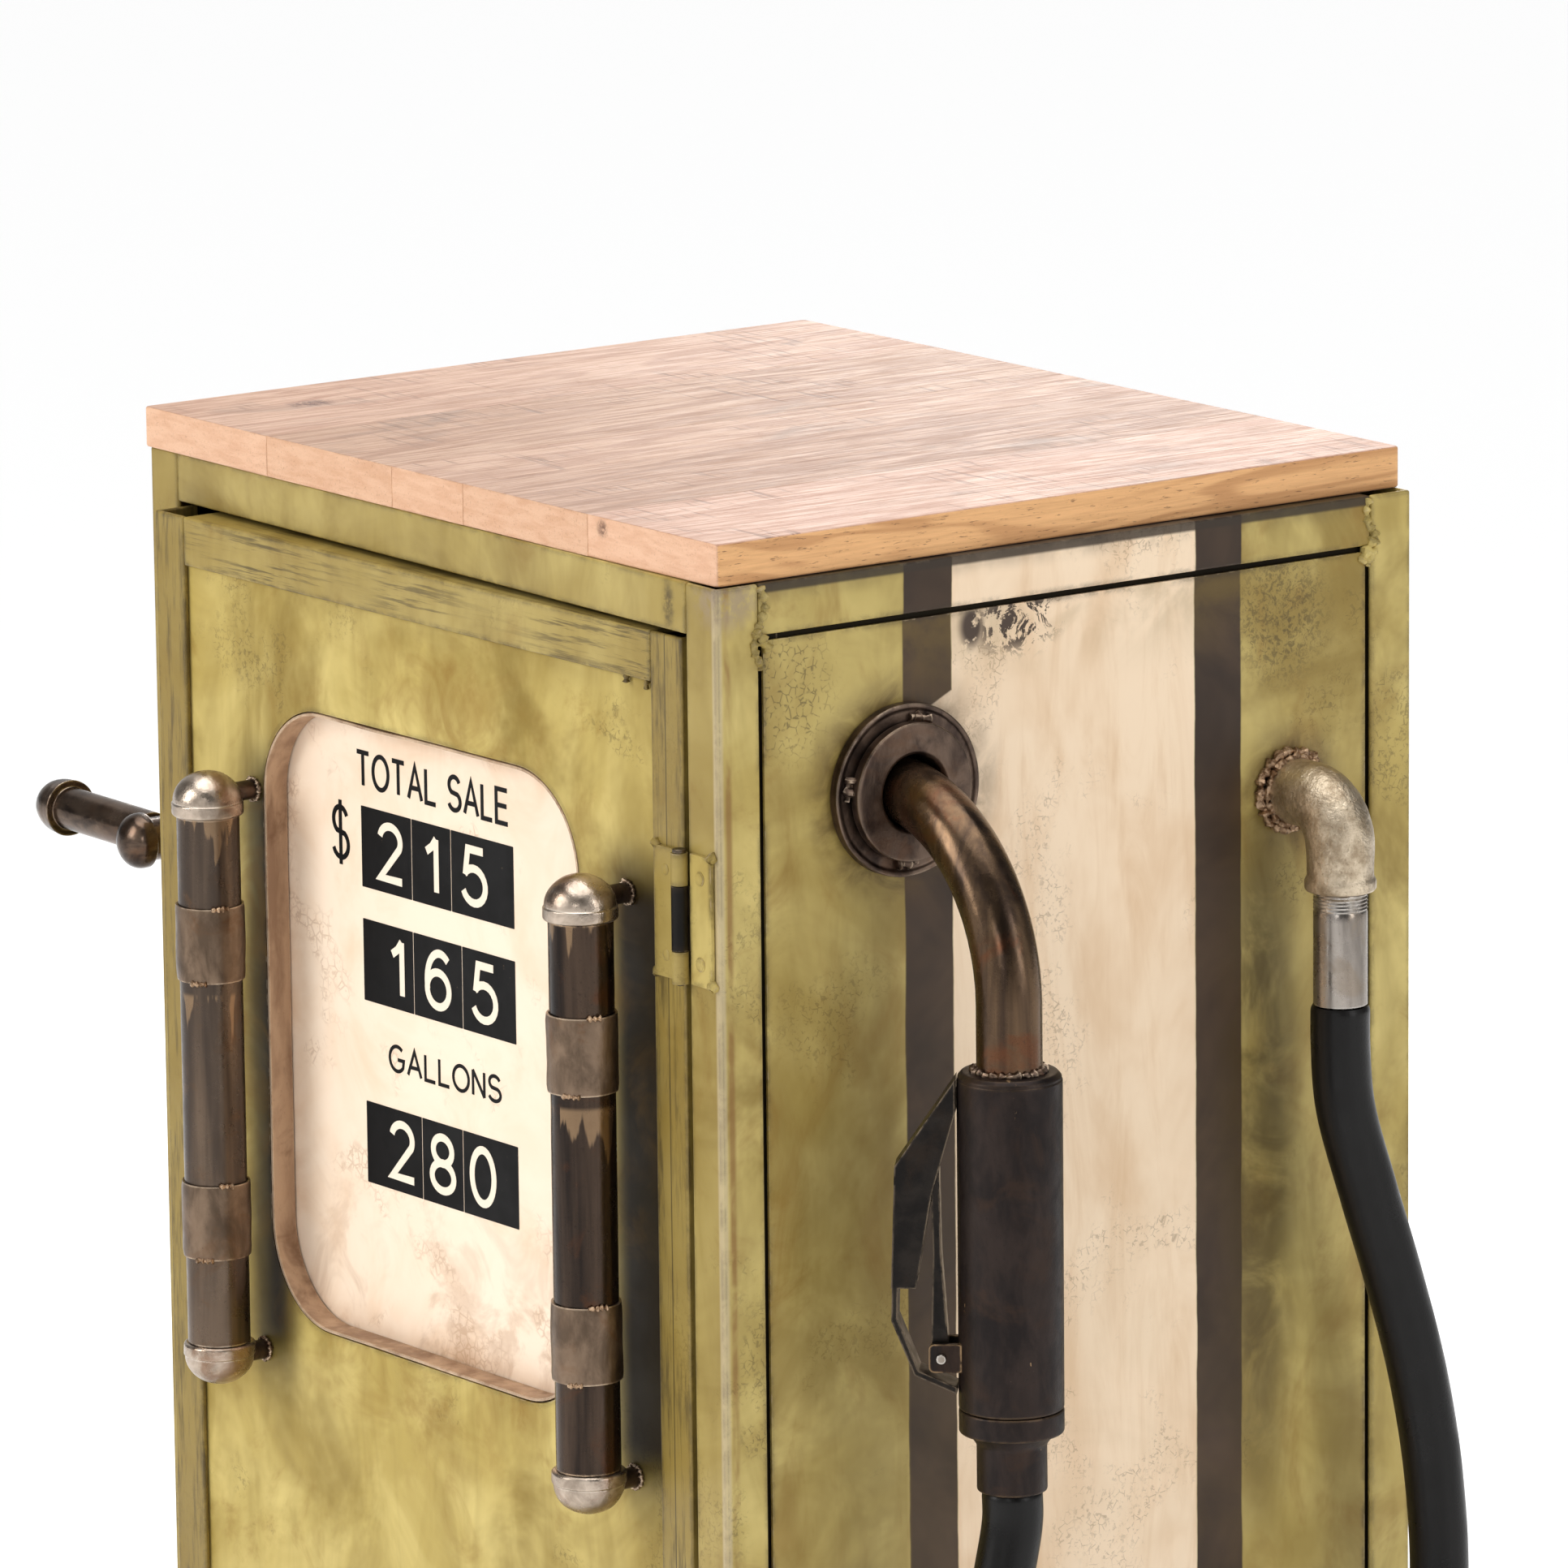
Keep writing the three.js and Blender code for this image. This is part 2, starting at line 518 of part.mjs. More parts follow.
function buildHose(parent) {
  add(parent, 'hose_elbow', elbowGeometry(), CAST);
  const top = ELBOW.z - ELBOW.drop - GAP;
  const nipple = rod('z', NIPPLE_RADIUS, NIPPLE_END, top, 24);
  const place = [WIDTH / 2 + ELBOW.reach, ELBOW.y, 0];
  add(parent, 'hose_nipple', nipple, ZINC).position.set(...place);
  const points = HOSE_ROUTE.map((p) => new THREE.Vector3(...p));
  const route = new THREE.CatmullRomCurve3(points);
  add(parent, 'fuel_hose', pipe(route, HOSE_RADIUS, 0, 6, 40), RUBBER);
}

// ---------- crank ----------
function buildCrank(parent) {
  const wall = -WIDTH / 2 + PANEL_SET_BACK;
  const armX = -WIDTH / 2 - CRANK.stand_off;
  const bush = ring('x', SPINDLE_RADIUS + 0.4, 17, wall - 8, wall - GAP);
  add(parent, 'crank_bush', bush, GUNMETAL).position.set(0, CRANK.y, CRANK.z);

  const spindle = turned('x', [
    [0, armX + CRANK.rod + GAP], [SPINDLE_RADIUS, armX + CRANK.rod + GAP],
    [SPINDLE_RADIUS, wall + 8], [13, wall + 8], [13, wall + 16], [0, wall + 16],
  ]);
  add(parent, 'crank_spindle', spindle, GUNMETAL).position.set(0, CRANK.y, CRANK.z);

  const arm = turned('y', [
    [0, -20], [8, -18], [CRANK.rod, -13], [CRANK.rod, CRANK.arm + 12],
    [CRANK.cap, CRANK.arm + 12], ...domeProfile(CRANK.cap, CRANK.arm + 15, 11),
  ]);
  arm.rotateX(Math.PI);
  add(parent, 'crank_arm', arm, BLACK_STEEL).position.set(armX, CRANK.y, CRANK.z);

  const grip = turned('x', [
    [0, CRANK.rod + GAP], [CRANK.rod, CRANK.rod + GAP], [CRANK.rod, CRANK.grip],
    [CRANK.cap + 0.6, CRANK.grip], ...domeProfile(CRANK.cap, CRANK.grip + 5, 19),
  ]);
  grip.rotateZ(Math.PI);
  add(parent, 'crank_grip', grip, BLACK_STEEL).position.set(armX, CRANK.y - CRANK.arm, CRANK.z);
}

// ---------- assembly ----------
// From the cabinet's centre to the middle of the whole box, the hose left out.
const ORIGIN = { x: 17.3, y: 28.4 };

const group = new THREE.Group();
group.position.set(ORIGIN.x, ORIGIN.y, 0);

const doorPivot = new THREE.Group();
doorPivot.position.set(HINGE_X, HINGE_Y, 0);
doorPivot.rotation.z = THREE.MathUtils.degToRad(DOOR_AJAR);
const door = new THREE.Group();
door.position.set(-HINGE_X, -HINGE_Y, 0);
doorPivot.add(door);
group.add(doorPivot);

buildFrame(group);
buildPanels(group);
buildShelf(group);
buildWoodTop(group);
buildHinges(group, door);
buildDoorFrame(door);
buildDoorPanel(door);
buildTubes(door);
buildCatch(group);
buildHolster(group);
buildNozzle(group);
buildHose(group);
buildCrank(group);

export default group;
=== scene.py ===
# The looks of a storage cabinet in the shape of an old fuel pump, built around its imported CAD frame.
# Metres, +Z up, the door faces -Y. Places come from the frame's boxes where a piece stands for a
# CAD node, and every piece is one mesh in the frame's own coordinates.
import json
import math
import random

import bmesh
import bpy
from mathutils import Matrix, Vector, noise

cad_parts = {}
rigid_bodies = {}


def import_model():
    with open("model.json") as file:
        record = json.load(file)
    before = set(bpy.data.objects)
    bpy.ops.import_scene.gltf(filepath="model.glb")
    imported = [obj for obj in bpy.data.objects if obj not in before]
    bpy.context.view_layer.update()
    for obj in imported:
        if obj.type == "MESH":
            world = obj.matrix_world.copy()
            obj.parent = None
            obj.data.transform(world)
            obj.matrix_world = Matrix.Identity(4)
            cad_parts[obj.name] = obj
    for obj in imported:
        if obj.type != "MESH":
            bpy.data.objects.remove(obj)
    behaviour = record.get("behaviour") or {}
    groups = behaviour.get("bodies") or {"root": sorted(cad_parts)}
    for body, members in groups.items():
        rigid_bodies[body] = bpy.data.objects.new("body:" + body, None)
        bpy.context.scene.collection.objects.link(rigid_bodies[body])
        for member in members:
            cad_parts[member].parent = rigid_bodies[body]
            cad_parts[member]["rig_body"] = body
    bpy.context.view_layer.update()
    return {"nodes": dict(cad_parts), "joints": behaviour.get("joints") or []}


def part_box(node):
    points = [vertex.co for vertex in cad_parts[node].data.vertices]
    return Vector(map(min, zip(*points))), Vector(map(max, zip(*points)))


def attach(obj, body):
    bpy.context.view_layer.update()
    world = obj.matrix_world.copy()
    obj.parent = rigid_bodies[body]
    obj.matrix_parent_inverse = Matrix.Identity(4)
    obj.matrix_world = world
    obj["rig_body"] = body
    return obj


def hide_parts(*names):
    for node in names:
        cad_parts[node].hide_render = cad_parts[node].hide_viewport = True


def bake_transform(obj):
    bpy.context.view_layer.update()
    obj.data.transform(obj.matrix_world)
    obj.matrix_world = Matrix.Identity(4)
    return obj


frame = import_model()
NODES = frame["nodes"]
MM = 0.001
UP = (0, 0, 1)

# ---------- driving values ----------
CAMERA = {"azimuth": 54.61, "elevation": 11.911, "roll": -0.631, "lens": 247.7}
CAMERA_PLACE = (4.3702, -3.0581, 2.0020)

DOOR_AJAR = math.radians(2)
HINGE = Vector(next(j for j in frame["joints"] if j["name"] == "door_hinge")["pos_m"])
WINDOW = {"left": -0.1182, "right": 0.1498, "bottom": 0.607, "top": 0.927, "radius": 0.050}
RIM_WALL = 0.003
DOOR_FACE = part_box("post_front_right")[0].y
SKIN_FACE = DOOR_FACE + 0.0033
DIAL_FACE = SKIN_FACE + 0.014

WOOD_TURN = math.radians(0.75)
HOSE_DIAMETER = 0.0295
# The hose's route, in millimetres about the cabinet's centre, and the centre's place in the frame.
CENTRE = Vector((17.3, 28.4, 0))
HOSE_ROUTE = [
    (290, 134.5, 795.7), (290, 134.5, 778), (290.5, 137, 745), (293, 149.5, 700), (296, 163, 655),
    (300, 176, 602), (304, 183, 548), (308, 183, 492), (312, 173, 438), (316, 151, 390),
    (320, 117, 353), (324, 74, 331), (328, 29, 325), (331, -16, 334), (333, -58, 359),
    (334.5, -90, 397), (335, -110, 444), (335, -117, 494), (335, -110.5, 543),
    (335, -102.2, 583), (335, -102.2, 598.7),
]


def middle(node):
    low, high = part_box(node)
    return (low + high) / 2


def underside(node):
    """The middle of the underside of a CAD node's box."""
    centre = middle(node)
    return Vector((centre.x, centre.y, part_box(node)[0].z))


# ---------- camera ----------
def place_camera():
    azimuth, elevation, roll = (math.radians(CAMERA[k]) for k in ("azimuth", "elevation", "roll"))
    level = Vector((-math.sin(azimuth), math.cos(azimuth), 0))
    forward = level * math.cos(elevation) - Vector((0, 0, math.sin(elevation)))
    right = Vector((math.cos(azimuth), math.sin(azimuth), 0))
    up = right.cross(forward)
    across = right * math.cos(roll) + up * math.sin(roll)
    above = up * math.cos(roll) - right * math.sin(roll)
    data = bpy.data.cameras.new("camera")
    data.lens = CAMERA["lens"]
    data.sensor_width = 36
    data.clip_end = 100
    camera = bpy.data.objects.new("camera", data)
    turn = Matrix((across, above, -forward)).transposed().to_4x4()
    camera.matrix_world = Matrix.Translation(CAMERA_PLACE) @ turn
    bpy.context.scene.collection.objects.link(camera)
    bpy.context.scene.camera = camera


place_camera()


# ---------- node materials ----------
def rgb(red, green, blue):
    """A display colour from 0 to 255 as linear RGBA."""
    def linear(value):
        value /= 255
        return value / 12.92 if value <= 0.04045 else ((value + 0.055) / 1.055) ** 2.4
    return (linear(red), linear(green), linear(blue), 1)


class Nodes:
    """A node tree being filled. Each call adds a node and returns its output socket."""

    def __init__(self, tree):
        self.tree = tree

    def node(self, kind, **settings):
        made = self.tree.nodes.new(kind)
        for key, value in settings.items():
            setattr(made, key, value)
        return made

    def put(self, socket, value):
        if isinstance(value, bpy.types.NodeSocket):
            self.tree.links.new(value, socket)
        else:
            socket.default_value = value

    def math(self, operation, a, b=0.0):
        made = self.node("ShaderNodeMath", operation=operation)
        self.put(made.inputs[0], a)
        self.put(made.inputs[1], b)
        return made.outputs[0]

    def plus(self, a, b):
        return self.math("ADD", a, b)

    def minus(self, a, b):
        return self.math("SUBTRACT", a, b)

    def times(self, first, *others):
        for other in others:
            first = self.math("MULTIPLY", first, other)
        return first

    def top(self, first, *others):
        for other in others:
            first = self.math("MAXIMUM", first, other)
        return first

    def step(self, value, low, high, lowest=0.0, highest=1.0):
        """A smooth step from low to high; it falls where low is above high."""
        if low > high:
            low, high, lowest, highest = high, low, highest, lowest
        made = self.node("ShaderNodeMapRange", interpolation_type="SMOOTHSTEP")
        for socket, number in zip(made.inputs[:5], (value, low, high, lowest, highest)):
            self.put(socket, number)
        return made.outputs[0]


class Paint(Nodes):
    """One material, painted in the frame's own coordinates."""

    def __init__(self, name):
        self.material = bpy.data.materials.new(name)
        self.material.use_nodes = True
        super().__init__(self.material.node_tree)
        self.tree.nodes.clear()
        self.here = self.node("ShaderNodeTexCoord").outputs["Object"]
        split = self.node("ShaderNodeSeparateXYZ")
        self.put(split.inputs[0], self.here)
        self.x, self.y, self.z = split.outputs

    def stretched(self, stretch, shift):
        made = self.node("ShaderNodeMapping")
        self.put(made.inputs["Vector"], self.here)
        made.inputs["Location"].default_value = (shift, shift * 0.7, shift * 1.3)
        made.inputs["Scale"].default_value = stretch
        return made.outputs[0]

    def noise(self, size, detail=3.0, rough=0.55, warp=0.0, stretch=(1, 1, 1), shift=0.0):
        """Smooth noise, 0 to 1, whose lumps are about size metres across."""
        made = self.node("ShaderNodeTexNoise")
        self.put(made.inputs["Vector"], self.stretched(stretch, shift))
        for key, value in (("Scale", 1 / size), ("Detail", detail), ("Roughness", rough)):
            made.inputs[key].default_value = value
        made.inputs["Distortion"].default_value = warp
        return made.outputs[0]

    def cracks(self, size, width, stretch=(1, 1, 1), shift=0.0):
        """Thin lines between cells that are size metres across."""
        made = self.node("ShaderNodeTexVoronoi", feature="DISTANCE_TO_EDGE")
        self.put(made.inputs["Vector"], self.stretched(stretch, shift))
        made.inputs["Scale"].default_value = 1 / size
        return self.step(made.outputs["Distance"], width, 0.0)

    def mix(self, amount, a, b):
        made = self.node("ShaderNodeMix", data_type="RGBA")
        self.put(made.inputs[0], amount)
        self.put(made.inputs[6], a)
        self.put(made.inputs[7], b)
        return made.outputs[2]

    def patch(self, low, high, *shape, **more):
        """Soft-edged patches: a step from low to high on noise of the given size, detail and so on."""
        return self.step(self.noise(*shape, **more), low, high)

    def coat(self, color, tone, *masks):
        """A tone laid over a colour where all the masks agree."""
        return self.mix(self.times(*masks), color, tone)

    def edges(self, radius):
        """Near 1 at the piece's edges and corners, 0 on its open faces."""
        bevel = self.node("ShaderNodeBevel", samples=4)
        bevel.inputs["Radius"].default_value = radius
        geometry = self.node("ShaderNodeNewGeometry")
        dot = self.node("ShaderNodeVectorMath", operation="DOT_PRODUCT")
        self.put(dot.inputs[0], bevel.outputs[0])
        self.put(dot.inputs[1], geometry.outputs["Normal"])
        return self.step(dot.outputs["Value"], 0.995, 0.86)

    def near(self, centre, inner, outer, flatten=(1, 1, 1)):
        """1 within inner metres of a point, fading to 0 at outer."""
        shifted = self.node("ShaderNodeVectorMath", operation="SUBTRACT")
        self.put(shifted.inputs[0], self.here)
        shifted.inputs[1].default_value = centre
        scaled = self.node("ShaderNodeVectorMath", operation="MULTIPLY")
        self.put(scaled.inputs[0], shifted.outputs[0])
        scaled.inputs[1].default_value = flatten
        length = self.node("ShaderNodeVectorMath", operation="LENGTH")
        self.put(length.inputs[0], scaled.outputs[0])
        return self.step(length.outputs["Value"], outer, inner)

    def band(self, place, low, high, soft=0.0006):
        """1 where a coordinate lies between low and high."""
        rise = self.step(place, low - soft, low + soft)
        return self.times(rise, self.step(place, high + soft, high - soft))

    def border(self, node, axes, width):
        """1 along the sides of a CAD node's box, fading to 0 at width metres inside it."""
        low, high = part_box(node)
        found = None
        for axis in axes:
            place = (self.x, self.y, self.z)["xyz".index(axis)]
            first, last = (end["xyz".index(axis)] for end in (low, high))
            for mask in (self.step(place, first + width, first), self.step(place, last - width, last)):
                found = mask if found is None else self.top(found, mask)
        return found

    def bump(self, height, distance, strength=1.0):
        made = self.node("ShaderNodeBump")
        made.inputs["Strength"].default_value = strength
        made.inputs["Distance"].default_value = distance
        self.put(made.inputs["Height"], height)
        return made.outputs[0]

    def finish(self, color, roughness, metallic=0.0, normal=None, **fixed):
        shader = self.node("ShaderNodeBsdfPrincipled")
        self.put(shader.inputs["Base Color"], color)
        self.put(shader.inputs["Roughness"], roughness)
        self.put(shader.inputs["Metallic"], metallic)
        if normal is not None:
            self.put(shader.inputs["Normal"], normal)
        for key, value in fixed.items():
            shader.inputs[key.replace("_", " ")].default_value = value
        output = self.node("ShaderNodeOutputMaterial")
        self.put(output.inputs[0], shader.outputs[0])
        return self.material


OLIVE_LIGHT = rgb(210, 190, 119)
OLIVE = rgb(180, 158, 88)
OLIVE_DEEP = rgb(128, 105, 44)
AMBER = rgb(134, 98, 34)
UMBER = rgb(48, 37, 25)
BARE_STEEL = rgb(176, 158, 132)
CREAM = rgb(240, 216, 186)
CREAM_TAN = rgb(214, 178, 138)
STRIPE = rgb(46, 31, 18)
STRIPE_LIGHT = rgb(72, 53, 36)

RIGHT_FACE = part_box("post_front_right")[1].x
DARK_BANDS = ((-0.0721, -0.0431), (0.1044, 0.1329))
CREAM_BAND = (-0.0431, 0.1044)
HOLSTER = Vector((RIGHT_FACE, middle("holster_plate").y, middle("holster_plate").z))
ELBOW = Vector((middle("hose_nipple").x, middle("hose_nipple").y, 0.8975))


def olive(p, shift, dark=0.0):
    """Sponged and glazed olive paint: cloudy greens, amber glaze, black flecks in patches."""
    clouds = p.patch(0.32, 0.68, 0.11, 4, 0.55, 1.2, shift=shift)
    color = p.mix(clouds, OLIVE, OLIVE_LIGHT)
    strokes = p.patch(0.35, 0.75, 0.03, 3, 0.6, 0.8, (1, 1, 0.35), shift + 3)
    color = p.coat(color, OLIVE_DEEP, strokes, 0.42)
    glaze = p.patch(0.47, 0.72, 0.15, 5, 0.62, 0.8, shift=shift + 7)
    color = p.coat(color, OLIVE_DEEP, glaze, 0.8)
    tint = p.patch(0.54, 0.78, 0.07, 5, 0.65, 1.1, shift=shift + 11)
    color = p.coat(color, AMBER, tint, 0.6)
    patches = p.patch(0.56, 0.66, 0.085, 4, 0.6, 0.3, shift=shift + 17)
    flecks = p.patch(0.53, 0.63, 0.0035, 4, 0.7, 0.6, shift=shift)
    arcs = p.times(p.cracks(0.0042, 0.09, shift=shift), p.patch(0.5, 0.6, 0.0036, 2, shift=shift + 5))
    marks = sponged(p, patches, flecks, arcs)
    color = p.coat(color, UMBER, marks, 0.6)
    if dark:
        color = p.mix(dark, color, OLIVE_DEEP)
    return color


def sponged(p, patches, flecks, arcs):
    """A sponge's marks inside the patches: flecks, and small arcs that are a little stronger."""
    return p.times(patches, p.top(p.times(flecks, 0.6), p.times(arcs, 0.8)))


def paint_height(p):
    """Brush marks and orange peel, as one height."""
    peel = p.times(p.noise(0.0016, 2, 0.5), 0.35)
    return p.plus(peel, p.noise(0.011, 4, 0.6, 0.5))


def rubbed(p, color, worn=0.75):
    """Dark wax along the edges, broken up, with a little bare steel at the very corners."""
    broken = p.patch(0.36, 0.6, 0.018, 5, 0.7, 0.4, shift=23)
    wide = p.times(p.edges(0.005), broken, worn)
    color = p.mix(wide, color, UMBER)
    tight = p.times(p.edges(0.0012), p.patch(0.5, 0.62, 0.009, 4, 0.65, shift=31))
    return p.coat(color, BARE_STEEL, tight, 0.8), tight


def painted(p, color, worn=0.75, gloss=0.36, sheen=0.32):
    color, bare = rubbed(p, color, worn)
    rough = p.step(p.noise(0.04, 4, 0.6, shift=41), 0.25, 0.75, gloss, gloss + 0.16)
    normal = p.bump(paint_height(p), 0.00012, 0.55)
    return p.finish(color, rough, p.times(bare, 0.7), normal, Specular_IOR_Level=sheen)


def green_paint():
    p = Paint("green_paint")
    color = olive(p, 0)
    front = p.step(p.y, DOOR_FACE + 0.0008, DOOR_FACE + 0.0002)
    color = p.coat(color, OLIVE_DEEP, front, 0.42)
    wiped = p.times(p.near((0.2283, DOOR_FACE, 1.026), 0.002, 0.007, (1, 1, 0.45)),
                    p.patch(0.32, 0.6, 0.006, 4, 0.7), front)
    return painted(p, p.coat(color, UMBER, wiped, 0.7))


def hinge_paint():
    """The post's hinge leaves: green, with the bare middle knuckle left black."""
    p = Paint("hinge_paint")
    knuckle = p.band(p.x, HINGE.x - 0.0055, HINGE.x + 0.0046, 0.0002)
    color = p.mix(knuckle, olive(p, 5, 0.3), rgb(12, 10, 8))
    return painted(p, color, 0.8, 0.36, 0.16)


def slot_shade_paint():
    """The strips inside the panels' open slots, painted near black as painted shade in the slots."""
    p = Paint("slot_shade_paint")
    return painted(p, p.mix(0.985, olive(p, 9), rgb(20, 15, 10)), 0.3, 0.5, 0.08)


def post_paint():
    """The corner posts: the near corner's ridge is rubbed down to a pale line with a brown run."""
    p = Paint("post_paint")
    color = olive(p, 3)
    front = p.step(p.y, DOOR_FACE + 0.0008, DOOR_FACE + 0.0002)
    color = p.coat(color, OLIVE_DEEP, front, 0.55)
    corner = Vector((RIGHT_FACE, DOOR_FACE, 0))
    ridge = p.near(corner, 0.0022, 0.0042, (1, 1, 0))
    color = p.coat(color, rgb(198, 182, 150), ridge, 0.6)
    run = p.times(p.band(p.y, DOOR_FACE + 0.0045, DOOR_FACE + 0.008, 0.0012),
                  p.patch(0.38, 0.56, 0.05, 4, 0.7, 0.6, (1, 1, 0.5), 9),
                  p.step(p.x, RIGHT_FACE - 0.002, RIGHT_FACE - 0.001))
    color = p.coat(color, rgb(128, 88, 40), run, 0.7)
    head = p.near(corner + Vector((0, 0.008, 1.037)), 0.008, 0.026)
    color = p.coat(color, rgb(150, 132, 112), head, p.patch(0.35, 0.6, 0.008, 5, 0.7), 0.7)
    return painted(p, color)


def stile_paint():
    """The door's stiles, glazed darker than the sheet, with a line scribed along the right one."""
    p = Paint("stile_paint")
    grain = p.patch(0.45, 0.7, 0.004, 4, 0.7, 0.2, (1, 1, 0.09), 2)
    color = p.coat(olive(p, 13, 0.75), UMBER, grain, 0.6)
    scribed = p.band(p.x, 0.2249, 0.2256, 0.0003)
    color = p.coat(color, UMBER, scribed, 0.8)
    return painted(p, color, 0.9)


def rail_paint():
    """The door's rails: scratched lengthwise where the glaze was wiped off."""
    p = Paint("rail_paint")
    scratch = p.patch(0.5, 0.62, 0.0028, 4, 0.7, 0.1, (0.03, 1, 1), 5)
    where = p.patch(0.35, 0.6, 0.12, 3, 0.6, shift=8)
    color = p.coat(olive(p, 17, 0.5), UMBER, scratch, where, 0.7)
    return painted(p, color, 0.9)


def skin_paint():
    """The door sheet, dark along the frame, with each tube's painted shadow beside it."""
    p = Paint("skin_paint")
    color = olive(p, 21)
    border = p.times(p.border("door_skin", "xz", 0.055), p.patch(0.3, 0.7, 0.06, 4, 0.6, 1))
    color = p.coat(color, OLIVE_DEEP, border, 0.75)
    # painted shadow of each tube: a dark band on the sheet a little right of the tube, along its length and
    # past its cap
    for side, reach in (("left", 0.014), ("right", 0.026)):
        low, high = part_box(f"{side}_tube_rod")
        x = (low.x + high.x) / 2 + 0.010
        column = p.band(p.x, x - reach, x + reach, 0.014)
        shade = p.times(column, p.band(p.z, low.z - 0.01, high.z + 0.025, 0.02))
        color = p.coat(color, rgb(36, 26, 14), shade, 0.97)
    ring = p.near((0.0158, SKIN_FACE, 0.767), 0.150, 0.215, (1, 0, 0.86))
    color = p.coat(color, AMBER, ring, p.patch(0.4, 0.7, 0.05, 4, 0.6, 1.5), 0.5)
    return painted(p, color, 0.55, 0.42, 0.14)


def side_color(p, shift):
    """Olive with a cream stripe between two dark stripes, all running up the side."""
    wobble = p.times(p.minus(p.noise(0.05, 4, 0.6), 0.5), 0.0022)
    across = p.plus(p.y, wobble)
    color = olive(p, shift, 0.15)
    swirl = p.patch(0.5, 0.72, 0.06, 4, 0.6, 1.6, (1, 1, 0.5), shift + 2)
    color = p.coat(color, AMBER, swirl, 0.5)

    brush = p.patch(0.42, 0.78, 0.022, 5, 0.65, 0.9, (1, 1, 0.16), shift + 6)
    stain = p.patch(0.46, 0.74, 0.075, 4, 0.6, 0.6, (1, 1, 0.6), shift + 9)
    cream = p.coat(CREAM, CREAM_TAN, brush, 0.6)
    cream = p.coat(cream, CREAM_TAN, stain, 0.6)
    patches = p.patch(0.52, 0.63, 0.06, 4, 0.6, 0.5, shift=shift + 14)
    arcs = p.times(p.cracks(0.0044, 0.08, shift=4), p.patch(0.48, 0.58, 0.0036, 2, shift=2))
    flecks = p.patch(0.55, 0.64, 0.003, 4, 0.7, 0.5)
    marks = sponged(p, patches, flecks, arcs)
    cream = p.coat(cream, rgb(120, 92, 66), marks, 0.62)

    haze = p.patch(0.3, 0.75, 0.07, 3, 0.6, 0.8, shift=19)
    stripe = p.mix(haze, STRIPE, STRIPE_LIGHT)
    for low, high in DARK_BANDS:
        color = p.mix(p.band(across, low, high), color, stripe)
    slant = p.minus(p.z, p.times(p.plus(across, 0.0431), 0.5))
    torn = p.times(p.band(slant, 0.922, 0.9735, 0.0006), p.band(p.y, -0.0595, -0.0425, 0.0006))
    return p.mix(p.top(torn, p.band(across, *CREAM_BAND)), color, cream)


def side_paint():
    p = Paint("side_paint")
    color = side_color(p, 27)
    border = p.times(p.border("right_panel", "yz", 0.05), p.patch(0.3, 0.7, 0.05, 4, 0.6, 1))
    color = p.coat(color, OLIVE_DEEP, border, 0.4)
    low = p.step(p.z, 0.93, 0.62)
    shade = p.times(low, p.patch(0.3, 0.62, 0.09, 4, 0.6, 1.0, shift=6))
    color = p.coat(color, OLIVE_DEEP, shade, p.step(p.y, -0.075, -0.070, 1, 0.12), 0.6)
    chips = p.times(p.near((RIGHT_FACE, -0.004, 1.0035), 0.014, 0.036, (1, 1, 1.6)),
                    p.patch(0.5, 0.54, 0.011, 5, 0.75, 0.8, shift=5))
    blot = p.times(p.near((RIGHT_FACE, -0.031, 1.003), 0.004, 0.010, (1, 1.0, 0.7)),
                   p.patch(0.36, 0.44, 0.008, 4, 0.7))
    color = p.mix(p.top(chips, blot), color, rgb(70, 55, 44))
    # painted shadow of the hose: a dark vertical patch on the side beside the hose
    behind = p.times(p.near((RIGHT_FACE, 0.143, 0.72), 0.010, 0.034, (0, 1, 0.13)),
                     p.patch(0.15, 0.6, 0.04, 4, 0.6, 0.8))
    color = p.coat(color, rgb(66, 50, 20), behind, 0.8)
    crescents = p.times(p.near((RIGHT_FACE, -0.138, 0.985), 0.012, 0.034, (0, 1, 0.7)),
                        p.cracks(0.0042, 0.1, shift=9), p.patch(0.45, 0.58, 0.0036, 2, shift=2))
    rear = p.times(p.near((RIGHT_FACE, 0.158, 0.985), 0.014, 0.040, (0, 1, 0.9)),
                   p.patch(0.46, 0.6, 0.003, 4, 0.75, 0.8))
    color = p.coat(color, UMBER, p.top(crescents, p.times(rear, 0.9)), 0.6)
    # painted shade on the side in a ring round the holster's flange and round the elbow
    for centre, inner, outer in ((HOLSTER, 0.040, 0.066), (ELBOW, 0.018, 0.040)):
        spot = Vector((RIGHT_FACE, centre.y, centre.z))
        shade_ring = p.times(p.near(spot, inner, outer), p.patch(0.2, 0.7, 0.03, 4, 0.6, 1.6))
        color = p.coat(color, rgb(84, 62, 30), shade_ring, 0.82)
    return painted(p, color, 0.8)


def side_rail_paint():
    p = Paint("side_rail_paint")
    color = side_color(p, 27)
    # painted shadow of the wood top: the rail darker towards its top edge, with a dark line just under the
    # wood
    shade_under_wood = p.times(p.step(p.z, 1.026, 1.038), p.patch(0.3, 0.6, 0.03, 4, 0.6))
    color = p.coat(color, UMBER, shade_under_wood, 0.45)
    return painted(p, p.coat(color, UMBER, p.step(p.z, 1.0335, 1.0352), 0.9))


